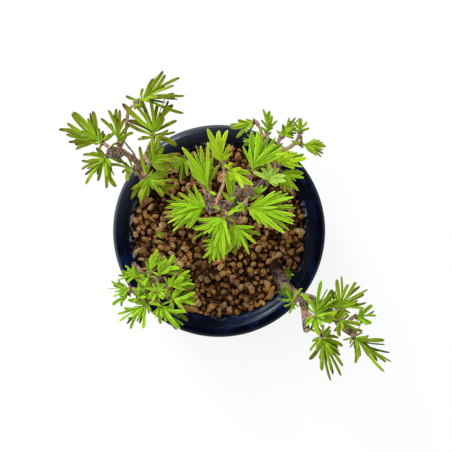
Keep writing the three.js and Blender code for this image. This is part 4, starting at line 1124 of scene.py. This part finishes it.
def limbs_of(name):
    """Every line of a tree's wood, with how new its bark is."""
    grown = TREES[name]
    lines = [(path_of(points, radii, LIMB_STEP), 0) for points, radii in grown.limbs]
    lines += [(path_of(points, radii, LIMB_STEP), 1) for points, radii in grown.shoots]
    lines += [(spur_path(spray), 0.35) for spray in SPRAYS if spray.tree == name]
    return lines


def knit_limbs(name, lines, look, material):
    """One tree's limbs and knobs grown into each other, still without the bark's ridges."""
    made = bmesh.new()
    for places, _ in lines:
        add_tube(made, places, LIMB_SIDES)
    for x, y, z, radius in TREES[name].knobs:
        bmesh.ops.create_icosphere(
            made, subdivisions=3, radius=radius * MM, matrix=Matrix.Translation(metres((x, y, z))))
    wood = new_piece(f"bark_{name}", keep_mesh(f"bark_{name}", made), material)
    knit = wood.modifiers.new("knit", "REMESH")
    knit.mode = "VOXEL"
    knit.voxel_size = look.fineness
    keep_result(wood)
    return wood


def limb_samples(lines):
    """Every place on the lines, with its two cross directions, its radius, how far along its own
    line it is and how new the bark there is, and a search for the nearest one."""
    samples = []
    for places, newness in lines:
        travelled = 0
        before = places[0][0]
        for (centre, _, radius), (across, other) in zip(places, frame_along(places)):
            travelled += (centre - before).length
            before = centre
            samples.append((centre, across, other, radius, travelled, newness))
    near = kdtree.KDTree(len(samples))
    for i, sample in enumerate(samples):
        near.insert(sample[0], i)
    near.balance()
    return samples, near


def raise_bark(wood, lines, look):
    """Raise the bark's lengthwise ridges, lower on thin and new wood, and keep on every corner how
    high the bark is and how new."""
    samples, near = limb_samples(lines)
    ridges, shoots, moved = [], [], []
    for corner in wood.data.vertices:
        _, i, _ = near.find(corner.co)
        centre, across, other, radius, travelled, newness = samples[i]
        out = corner.co - centre
        angle = math.atan2(out.dot(other), out.dot(across))
        thick = min(1, radius / (2.6 * MM))
        # Thin wood is partly as smooth and warm as a new shoot.
        newness = max(newness, 0.4 * min(1, max(0, 1.7 - radius / (1.4 * MM))))
        # The noise is drawn out along the limb, so that the ridges run lengthwise.
        grain = Vector((math.cos(angle) * 2.2, math.sin(angle) * 2.2, travelled / (5 * MM)))
        fibre = noise.noise(grain * 1.6) + 0.5 * noise.noise(grain * 4)
        lump = noise.noise(corner.co / (2.4 * MM))
        height = fibre * thick + 0.7 * lump
        raised = corner.normal * look.ridge * height * (0.5 + 0.5 * thick) * (1 - 0.6 * newness)
        moved.append(corner.co + raised)
        ridges.append(min(1, max(0, 0.55 + 0.6 * height)))
        shoots.append(newness)
    for corner, place in zip(wood.data.vertices, moved):
        corner.co = place
    give(wood.data, "ridge", "FLOAT", ridges)
    give(wood.data, "shoot", "FLOAT", shoots)
    wood.data.update()
    wood.data.shade_smooth()


def blade_mesh(name, outline, arch, bow, thickness):
    """A blade a unit long along X and a unit wide along Y: its edges turned up, keeled below, arched
    down towards its tip and bowed to one side, with its own place on it as an attribute."""
    corners, own = [], []
    for part, width in outline:
        droop = -arch * part * part
        flare = min(1, width * 1.5)
        aside = bow * part * (1 - part)
        for across, rise in BLADE_SECTION:
            corners.append((part, across * width / 2 + aside, rise * thickness * flare + droop))
            own.append((part, across, 0))
    count = len(BLADE_SECTION)
    faces = []
    for ring in range(len(outline) - 1):
        for i in range(count):
            here, beside = ring * count + i, ring * count + (i + 1) % count
            faces.append((here, here + count, beside + count, beside))
    last = (len(outline) - 1) * count
    faces.append(tuple(range(count)))
    faces.append(tuple(last + i for i in reversed(range(count))))
    mesh = mesh_from(name, corners, faces)
    face_out(mesh)
    give(mesh, "blade", "FLOAT_VECTOR", own)
    mesh.shade_smooth()
    return mesh


def blade_shapes(name, outline, forms, thickness):
    """A collection of blades that differ in arch and bow."""
    return shape_collection(name, [
        blade_mesh(f"{name}_{number}", outline, arch, bow, thickness)
        for number, (arch, bow) in enumerate(forms)])


Mark = namedtuple("Mark", "place along up size shade bronze")


def marked_mesh(name, marks, body=None):
    """A mesh of single points that carry what the node tree needs, beside an optional body."""
    made = body or bmesh.new()
    solid = len(made.verts)
    for mark in marks:
        made.verts.new(mark.place)
    mesh = keep_mesh(name, made)
    none = Mark(None, Vector((1, 0, 0)), Vector((0, 0, 1)), Vector((1, 1, 1)), 0.5, 0)
    rows = [none] * solid + list(marks)
    give(mesh, "mark", "BOOLEAN", [i >= solid for i in range(len(rows))])
    for field in ("along", "up", "size"):
        give(mesh, field, "FLOAT_VECTOR", [getattr(row, field) for row in rows])
    for field in ("shade", "bronze"):
        give(mesh, field, "FLOAT", [getattr(row, field) for row in rows])
    return mesh


def clear_marks(mesh):
    """Take what only the node tree needs off a finished mesh."""
    for name in ("mark", "along", "up", "size"):
        if name in mesh.attributes:
            mesh.attributes.remove(mesh.attributes[name])


def scale_marks(name, draw):
    """Bud scales: a collar at the end of each spur, and a rosette over each knob."""
    marks = []
    for spray in (spray for spray in SPRAYS if spray.tree == name):
        axis = heading(spray.aim, spray.rise)
        across = axis.orthogonal().normalized()
        for number in range(COLLAR_SCALES):
            turn = math.tau * number / COLLAR_SCALES + draw.uniform(-0.3, 0.3)
            out = Matrix.Rotation(turn, 3, axis) @ across
            size = draw.uniform(1.3, 2) * MM
            marks.append(Mark(
                metres(spray.hub) - axis * draw.uniform(0.4, 1.6) * MM + out * 0.7 * MM,
                (axis * 0.8 + out * draw.uniform(0.3, 0.8)).normalized(), out,
                Vector((size, size * 0.8, size)), draw.random(), NEW_SCALE))
    for x, y, z, radius in TREES[name].knobs:
        for high, count in KNOB_RINGS:
            for number in range(count):
                turn = math.tau * (number + high) / count + draw.uniform(-0.15, 0.15)
                level = math.sqrt(1 - high * high)
                out = Vector((math.cos(turn) * level, math.sin(turn) * level, high))
                rise = Vector((0, 0, 1)) - out * out.z
                size = draw.uniform(0.68, 0.9) * radius * MM
                width = math.tau * radius * max(level, 0.3) / count * 1.25 * MM
                marks.append(Mark(
                    metres((x, y, z)) + out * radius * 0.8 * MM,
                    (rise.normalized() * 0.5 + out * draw.uniform(0.5, 0.9)).normalized(), out,
                    Vector((size, width, size)), draw.random(), NEW_SCALE * (draw.random() > 0.8)))
    return marks


def sawn_ends(name, material):
    """Slightly domed discs where twigs were sawn off."""
    made = bmesh.new()
    reach = made.verts.layers.float.new("off_centre")
    for place, way, radius in TREES[name].sawn:
        normal = Vector(way).normalized()
        turn = normal.to_track_quat("Z", "Y").to_matrix().to_4x4()
        cap = bmesh.ops.create_uvsphere(
            made, u_segments=20, v_segments=10, radius=radius * MM,
            matrix=Matrix.Translation(metres(place)) @ turn @ Matrix.Diagonal((1, 1, 0.3, 1)))
        for corner in cap["verts"]:
            out = corner.co - metres(place)
            corner[reach] = (out - normal * out.dot(normal)).length / (radius * MM)
    mesh = keep_mesh(f"sawn_ends_{name}", made)
    mesh.shade_smooth()
    return new_piece(mesh.name, mesh, material)


class BONSAI_OT_grow_wood(bpy.types.Operator):
    """Grow the four trees' wood, with bud scales and sawn ends"""
    bl_idname = "bonsai.grow_wood"
    bl_label = "Grow Wood"

    def execute(self, context):
        look = context.scene.bonsai.wood
        bark, papery, sawn = grown_bark(look), dry_bud_scale(look), sawn_wood(look)
        draw = random.Random(SCALE_SEED)
        shapes = blade_shapes("bud_scale", SCALE_OUTLINE, SCALE_FORMS, 0.12)
        tree = shapes_on_marks()
        for name in TREES:
            lines = limbs_of(name)
            wood = knit_limbs(name, lines, look, bark)
            raise_bark(wood, lines, look)
            settle(wood, "bark", f"wood_{name}")
            scales = new_piece(f"bud_scales_{name}", marked_mesh("scales", scale_marks(name, draw)))
            run_tree(scales, tree, {
                "Shapes": shapes, "Material": papery, "Forms": len(SCALE_FORMS), "Seed": 3})
            clear_marks(scales.data)
            settle(scales, "bark")
            if TREES[name].sawn:
                settle(sawn_ends(name, sawn), "bark")
        drop_shapes(shapes)
        return {"FINISHED"}


# The foliage


def leaf_tissue(name, body, look):
    """Soft leaf tissue of the year, grown: satin and veined, with pale edges and a pale middle line
    that are painted highlights, and bronze where the sun reached the tips."""
    material, tree, shader, place = new_material(name)
    blade = add_node(tree, "ShaderNodeAttribute", attribute_name="blade").outputs["Vector"]
    shade = add_node(tree, "ShaderNodeAttribute", attribute_name="shade").outputs["Fac"]
    bronze = add_node(tree, "ShaderNodeAttribute", attribute_name="bronze").outputs["Fac"]
    split = add_node(tree, "ShaderNodeSeparateXYZ", {"Vector": blade}).outputs
    along = split["X"]
    off = add_node(tree, "ShaderNodeMath", {0: split["Y"]}, operation="ABSOLUTE")

    # Painted shade: a leaflet's shade mixes its green towards a dark copy of it.
    deep = tuple(part * share for part, share in zip(body, LEFT_IN_SHADE)) + (1,)
    green = add_node(tree, "ShaderNodeMix", {0: shade, 6: deep, 7: body}, data_type="RGBA")
    stretched = add_node(
        tree, "ShaderNodeVectorMath", {0: blade, 1: (2.5, 3.2, 0)}, operation="MULTIPLY")
    own_place = add_node(tree, "ShaderNodeCombineXYZ", {"Z": shade})
    apart = add_node(
        tree, "ShaderNodeVectorMath", {0: own_place, 1: (0, 0, 60)}, operation="MULTIPLY")
    vein_place = add_node(tree, "ShaderNodeVectorMath", {0: stretched, 1: apart}, operation="ADD")
    veins = add_node(
        tree, "ShaderNodeTexNoise", {"Vector": vein_place, "Scale": 1, "Detail": 1, "Roughness": 0.55})
    between = add_node(tree, "ShaderNodeMapRange", {0: veins, 1: 0.42, 2: 0.68, 4: 0.5})
    veined = add_node(tree, "ShaderNodeMix", {0: between, 6: green, 7: deep}, data_type="RGBA")

    # Painted highlights: pale lines at the edges, the tip and the middle, stronger on the less shaded
    # leaflets.
    sides = add_node(tree, "ShaderNodeMapRange", {0: off, 1: 0.6, 2: 0.78})
    end = add_node(tree, "ShaderNodeMapRange", {0: along, 1: 0.93, 2: 0.98})
    middle = add_node(tree, "ShaderNodeMapRange", {0: off, 1: 0.14, 2: 0.04, 4: 0.16})
    lit = add_node(tree, "ShaderNodeMapRange", {0: shade, 1: 0.1, 2: 0.6, 3: 0.3, 4: 0.9})
    rim = add_node(tree, "ShaderNodeMath", {0: sides, 1: end}, operation="MAXIMUM")
    lines = add_node(tree, "ShaderNodeMath", {0: rim, 1: middle}, operation="MAXIMUM")
    pale = add_node(tree, "ShaderNodeMath", {0: lines, 1: lit}, operation="MULTIPLY")
    highlighted = add_node(tree, "ShaderNodeMix", {0: pale, 6: veined, 7: look.margin}, data_type="RGBA")

    far = add_node(tree, "ShaderNodeMapRange", {0: along, 1: 0.3, 2: 0.85})
    beside = add_node(tree, "ShaderNodeMapRange", {0: off, 1: 0.2, 2: 0.9, 3: 0.7})
    outer = add_node(tree, "ShaderNodeMath", {0: far, 1: beside}, operation="MULTIPLY")
    browned = add_node(tree, "ShaderNodeMath", {0: outer, 1: bronze}, operation="MULTIPLY")
    sunned = add_node(tree, "ShaderNodeMix", {0: browned, 6: highlighted, 7: look.bronze}, data_type="RGBA")
    last = add_node(tree, "ShaderNodeMapRange", {0: along, 1: 0.84, 2: 0.98})
    dried = add_node(tree, "ShaderNodeMath", {0: last, 1: bronze}, operation="MULTIPLY")
    tipped = add_node(tree, "ShaderNodeMix", {0: dried, 6: sunned, 7: look.burnt}, data_type="RGBA")

    # A leaflet's pores are finer than this, and are drawn as coarse as they need to show.
    pores = add_node(
        tree, "ShaderNodeTexNoise",
        {"Vector": place, "Scale": 1 / (0.7 * MM), "Detail": 3, "Roughness": 0.55})
    bumps = add_node(tree, "ShaderNodeBump", {"Height": pores, "Distance": 0.03 * MM})
    set_inputs(tree, shader, {
        "Base Color": tipped, "Roughness": 0.5, "IOR": 1.42, "Specular IOR Level": 0.1,
        "Normal": bumps})
    return material


def stem_length(spray):
    """How far a spray's stem runs on from its hub, in millimetres."""
    return 1.2 + 0.16 * max(tip[1] for tip in spray.tips)


def leaflet_mark(spray, angle, distance, seen_width, lift, look, draw):
    """A leaflet from the spray's stem to a tip at a compass angle and distance, lifted out of the
    spray's own plane, and turned on its length until it shows the width that it should."""
    hub = Vector(spray.hub)
    reach = max(tip[1] for tip in spray.tips)
    turn = math.radians(angle)
    ahead = math.cos(turn - math.radians(spray.aim))
    rise = math.tan(math.radians(spray.rise)) * ahead + math.tan(math.radians(lift))
    tip = hub + Vector((math.cos(turn), math.sin(turn), rise)) * distance
    root = hub + heading(spray.aim, spray.rise) * stem_length(spray) * max(0, ahead) * (distance / reach)
    way = (tip - root).normalized()
    size = (tip - root).length * MM
    habit = HABITS[spray.tree]
    # A short leaflet is narrower than a long one, but not much narrower than it should show.
    full = look.width * AGES[spray.age].width * habit.width
    width = full * min(1, 0.6 + size / (30 * MM)) * draw.uniform(0.88, 1.06)
    width = max(width, seen_width * MM * 0.85 * habit.width)
    roll = math.acos(min(1, seen_width * MM / width)) * draw.choice((-1, 1)) + draw.gauss(0, 0.24)
    flat = (Vector((0, 0, 1)) - way * way.z).normalized()
    flat = Matrix.Rotation(roll, 3, way) @ flat
    if spray.age == "mature":
        bronze = habit.bronzed * draw.uniform(0.45, 1.1)
    else:
        bronze = draw.uniform(-0.5, 0.3 * habit.bronzed)
    # Painted shade: leaflets lifted over the fan are lighter and those under it darker, around each age's
    # brightness and each tree's darkening, with a random part.
    shade = AGES[spray.age].brightness - habit.darker + lift / 40 + draw.uniform(-0.38, 0.38)
    shade = min(1, max(0, shade))
    return Mark(metres(root), way, flat, Vector((size, width, size)), shade, max(0, bronze))


def spray_marks(spray, look, draw):
    """The leaflets of a spray: one to each tip of its table, shorter ones over and under them, and
    the shortest all round its hub."""
    habit = HABITS[spray.tree]
    usual = SEEN_WIDTH * AGES[spray.age].width * habit.width
    marks = []
    for number, (angle, distance, *width) in enumerate(spray.tips):
        lift = TIP_LIFTS[number % len(TIP_LIFTS)] + draw.uniform(-4, 4)
        seen = width[0] if width else usual
        marks.append(leaflet_mark(spray, angle, distance, seen, lift, look, draw))
    for number in range(round(look.extra * habit.extra * len(spray.tips))):
        angle, distance, *_ = draw.choice(spray.tips)
        lift = draw.uniform(10, 28) if number % 2 else draw.uniform(-26, -10)
        marks.append(leaflet_mark(
            spray, angle + draw.uniform(-1, 1) * habit.stray, distance * draw.uniform(0.45, 0.85),
            draw.uniform(1, usual), lift, look, draw))
    for _ in range(round(habit.basal * len(spray.tips) / 12)):
        marks.append(leaflet_mark(
            spray, draw.uniform(0, 360), draw.uniform(3.5, 7), draw.uniform(0.7, usual),
            draw.uniform(0, 45), look, draw))
    return marks


def spray_stem(spray):
    """The slim green stem that a spray's leaflets stand on, as a bmesh."""
    axis = heading(spray.aim, spray.rise)
    start = Vector(spray.hub) - axis * 0.6
    made = bmesh.new()
    ends = [start, start + axis * (stem_length(spray) / 2), start + axis * (stem_length(spray) + 0.6)]
    add_tube(made, path_of(ends, STEM_RADII, LIMB_STEP), sides=8)
    return made


class BONSAI_OT_open_sprays(bpy.types.Operator):
    """Open the sprays of leaflets"""
    bl_idname = "bonsai.open_sprays"
    bl_label = "Open Sprays"

    def execute(self, context):
        look = context.scene.bonsai.foliage
        tissues = {
            age: leaf_tissue(f"{age}_leaf_tissue", tuple(getattr(look, age)), look) for age in AGES}
        shapes = {
            name: blade_shapes(name, outline, LEAFLET_FORMS, look.thickness / USUAL_LEAFLET)
            for name, outline in LEAFLET_OUTLINES.items()}
        tree = shapes_on_marks()
        numbers = dict.fromkeys(TREES, 0)
        for spray in SPRAYS:
            numbers[spray.tree] += 1
            number = numbers[spray.tree]
            ending = f"{spray.tree}_{number}"
            habit = HABITS[spray.tree]
            draw = random.Random(look.seed + 100 * len(ending) + number)
            marks = spray_marks(spray, look, draw)
            piece = new_piece(f"leaflets_{ending}", marked_mesh("leaflets", marks, spray_stem(spray)))
            run_tree(piece, tree, {
                "Shapes": shapes[habit.outline], "Material": tissues[spray.age], "Forms": habit.forms,
                "Seed": number})
            clear_marks(piece.data)
            settle(piece, f"foliage_{spray.age}", f"spray_{ending}")
        for collection in shapes.values():
            drop_shapes(collection)
        return {"FINISHED"}


# Small finds on the soil and the spurs


def dry_needle_tissue():
    """A shed needle, dried: straw-coloured with a faint gloss."""
    material, tree, shader, place = new_material("shed_dry_needle")
    streaks = add_node(
        tree, "ShaderNodeTexNoise",
        {"Vector": place, "Scale": 1 / (1.5 * MM), "Detail": 3, "Roughness": 0.55})
    straw = add_node(
        tree, "ShaderNodeMix", {0: streaks, 6: colour("#c9cf9a"), 7: colour("#a8ad74")},
        data_type="RGBA")
    set_inputs(tree, shader, {"Base Color": straw, "Roughness": 0.55})
    return material


class BONSAI_OT_place_finds(bpy.types.Operator):
    """Place the seedlings in the granules and the shed needle on the spurs"""
    bl_idname = "bonsai.place_finds"
    bl_label = "Place Finds"

    def execute(self, context):
        look = context.scene.bonsai.foliage
        tissue = leaf_tissue("seedling_leaf_tissue", colour("#8fae2c"), look)
        forms = LEAFLET_FORMS[:3]
        shapes = blade_shapes("seedling", LEAFLET_OUTLINES["strap"], forms, 0.05)
        draw = random.Random(SEEDLING_SEED)
        marks = []
        for foot, aim, size in SEEDLINGS:
            for number in range(SEEDLING_LEAVES):
                way = heading(aim + number * 360 / SEEDLING_LEAVES, draw.uniform(15, 50))
                marks.append(Mark(
                    metres(foot), way, Vector((0, 0, 1)) - way * way.z,
                    Vector((size * MM, 1.3 * MM, size * MM)), draw.random(), 0.06))
        seedlings = new_piece("seedlings", marked_mesh("seedlings", marks))
        run_tree(seedlings, shapes_on_marks(), {
            "Shapes": shapes, "Material": tissue, "Forms": len(forms), "Seed": 1})
        clear_marks(seedlings.data)
        settle(seedlings, "foliage_fresh")
        drop_shapes(shapes)

        made = bmesh.new()
        add_tube(made, path_of(DRY_NEEDLE, DRY_NEEDLE_RADII, LIMB_STEP), sides=6)
        mesh = keep_mesh("dry_needle", made)
        mesh.shade_smooth()
        settle(new_piece("dry_needle", mesh, dry_needle_tissue()), "foliage_mature")
        return {"FINISHED"}


# The stage


def opal_floor(look):
    """Opal acrylic, cast, and lit from within as a photographer's light table is: matt, with faint
    shadows. In the glaze it shows on the window's side alone."""
    material, tree, shader, place = new_material("opal_light_table")
    clouds = add_node(
        tree, "ShaderNodeTexNoise", {"Vector": place, "Scale": 1 / 0.4, "Detail": 2, "Roughness": 0.55})
    body = add_node(
        tree, "ShaderNodeMix", {0: clouds, 6: look.floor, 7: colour("#686868")}, data_type="RGBA")
    window_side = add_node(
        tree, "ShaderNodeVectorMath", {0: place, 1: (*WINDOW_WAY, 0)}, operation="DOT_PRODUCT")
    mirrored = add_node(
        tree, "ShaderNodeMapRange", {0: window_side, 1: -0.02, 2: 0.2, 3: 0.02, 4: look.glow})
    rays = add_node(tree, "ShaderNodeLightPath").outputs
    glow = add_node(
        tree, "ShaderNodeMapRange", {0: rays["Is Glossy Ray"], 3: look.glow, 4: mirrored})
    set_inputs(tree, shader, {
        "Base Color": body, "Emission Color": WHITE, "Emission Strength": glow, "Roughness": 0.9,
        "Specular IOR Level": 0.1})
    return material


def pale_room(look):
    """The room's even light. The camera sees it as a plain pale grey, and in the glaze it shows on
    the window's side alone."""
    world = bpy.data.worlds.new("pale_room")
    world.use_nodes = True
    tree = world.node_tree
    rays = add_node(tree, "ShaderNodeLightPath").outputs
    way = add_node(tree, "ShaderNodeTexCoord").outputs["Generated"]
    window_side = add_node(
        tree, "ShaderNodeVectorMath", {0: way, 1: (*WINDOW_WAY, -0.6)}, operation="DOT_PRODUCT")
    mirrored = add_node(
        tree, "ShaderNodeMapRange",
        {0: window_side, 1: 0.5, 2: 1.05, 3: 0.01 * look.gloss, 4: look.gloss})
    lit = add_node(
        tree, "ShaderNodeMapRange", {0: rays["Is Glossy Ray"], 3: look.ambient, 4: mirrored})
    strength = add_node(tree, "ShaderNodeMapRange", {0: rays["Is Camera Ray"], 3: lit, 4: BACKDROP})
    set_inputs(tree, tree.nodes["Background"], {"Color": WHITE, "Strength": strength})
    return world


def softbox(name, place, width, height, power, mirrored=False, tint=(1, 1, 1)):
    """A soft light that looks at the pot's rim, and shows in the glaze or not."""
    lamp = bpy.data.lights.new(name, "AREA")
    lamp.shape = "RECTANGLE"
    lamp.size = width
    lamp.size_y = height
    lamp.energy = power
    lamp.color = tint
    light = bpy.data.objects.new(name, lamp)
    light.visible_glossy = mirrored
    light.location = place
    ahead = metres(LIGHTS_AIM) - Vector(place)
    light.rotation_euler = ahead.to_track_quat("-Z", "Y").to_euler()
    bpy.context.scene.collection.objects.link(light)


class BONSAI_OT_set_stage(bpy.types.Operator):
    """Lay the floor and set the lights and the camera"""
    bl_idname = "bonsai.set_stage"
    bl_label = "Set Stage"

    def execute(self, context):
        scene = context.scene
        look = scene.bonsai.stage
        half = 60
        corners = [(-half, -half, 0), (half, -half, 0), (half, half, 0), (-half, half, 0)]
        floor = new_piece("floor", mesh_from("floor", corners, [(0, 1, 2, 3)]), opal_floor(look))

        softbox("key_softbox", (-1.1, 1, 2.3), 1.8, 1.8, look.key)
        softbox("right_fill", (2, 0.3, 1.5), 1.6, 1.6, look.fill)
        softbox("low_fill", (-0.3, -2, 1.5), 1.6, 1.6, look.fill)
        softbox("window", (-1.3, 1.95, 1.35), 0.7, 1.9, look.window, mirrored=True, tint=(0.66, 0.82, 1))
        scene.world = pale_room(look)
        scene.view_settings.view_transform = "Standard"

        lens = bpy.data.cameras.new("camera")
        lens.lens = look.lens
        lens.sensor_width = 36
        camera = bpy.data.objects.new("camera", lens)
        centre = metres(VIEW_CENTRE)
        camera.location = (centre.x, centre.y, look.height)
        scene.collection.objects.link(camera)
        scene.camera = camera
        return {"FINISHED"}


class BONSAI_PT_pieces(bpy.types.Panel):
    """The pieces of the bonsai, in the order in which they are made"""
    bl_label = "Dawn Redwood Bonsai"
    bl_idname = "BONSAI_PT_pieces"
    bl_space_type = "VIEW_3D"
    bl_region_type = "UI"
    bl_category = "Bonsai"

    def draw(self, context):
        for operator in OPERATORS:
            self.layout.operator(operator.bl_idname)


OPERATORS = (
    BONSAI_OT_set_stage, BONSAI_OT_turn_pot, BONSAI_OT_fill_soil, BONSAI_OT_grow_wood, BONSAI_OT_open_sprays,
    BONSAI_OT_place_finds)
CLASSES = (
    PotSettings, SoilSettings, WoodSettings, FoliageSettings, StageSettings, BonsaiSettings, *OPERATORS,
    BONSAI_PT_pieces)


def register():
    for item in CLASSES:
        bpy.utils.register_class(item)
    bpy.types.Scene.bonsai = bpy.props.PointerProperty(type=BonsaiSettings)


def unregister():
    del bpy.types.Scene.bonsai
    for item in reversed(CLASSES):
        bpy.utils.unregister_class(item)


def main():
    register()
    bpy.ops.bonsai.set_stage()
    bpy.ops.bonsai.turn_pot()
    bpy.ops.bonsai.fill_soil()
    bpy.ops.bonsai.grow_wood()
    bpy.ops.bonsai.open_sprays()
    bpy.ops.bonsai.place_finds()


if __name__ == "__main__":
    main()
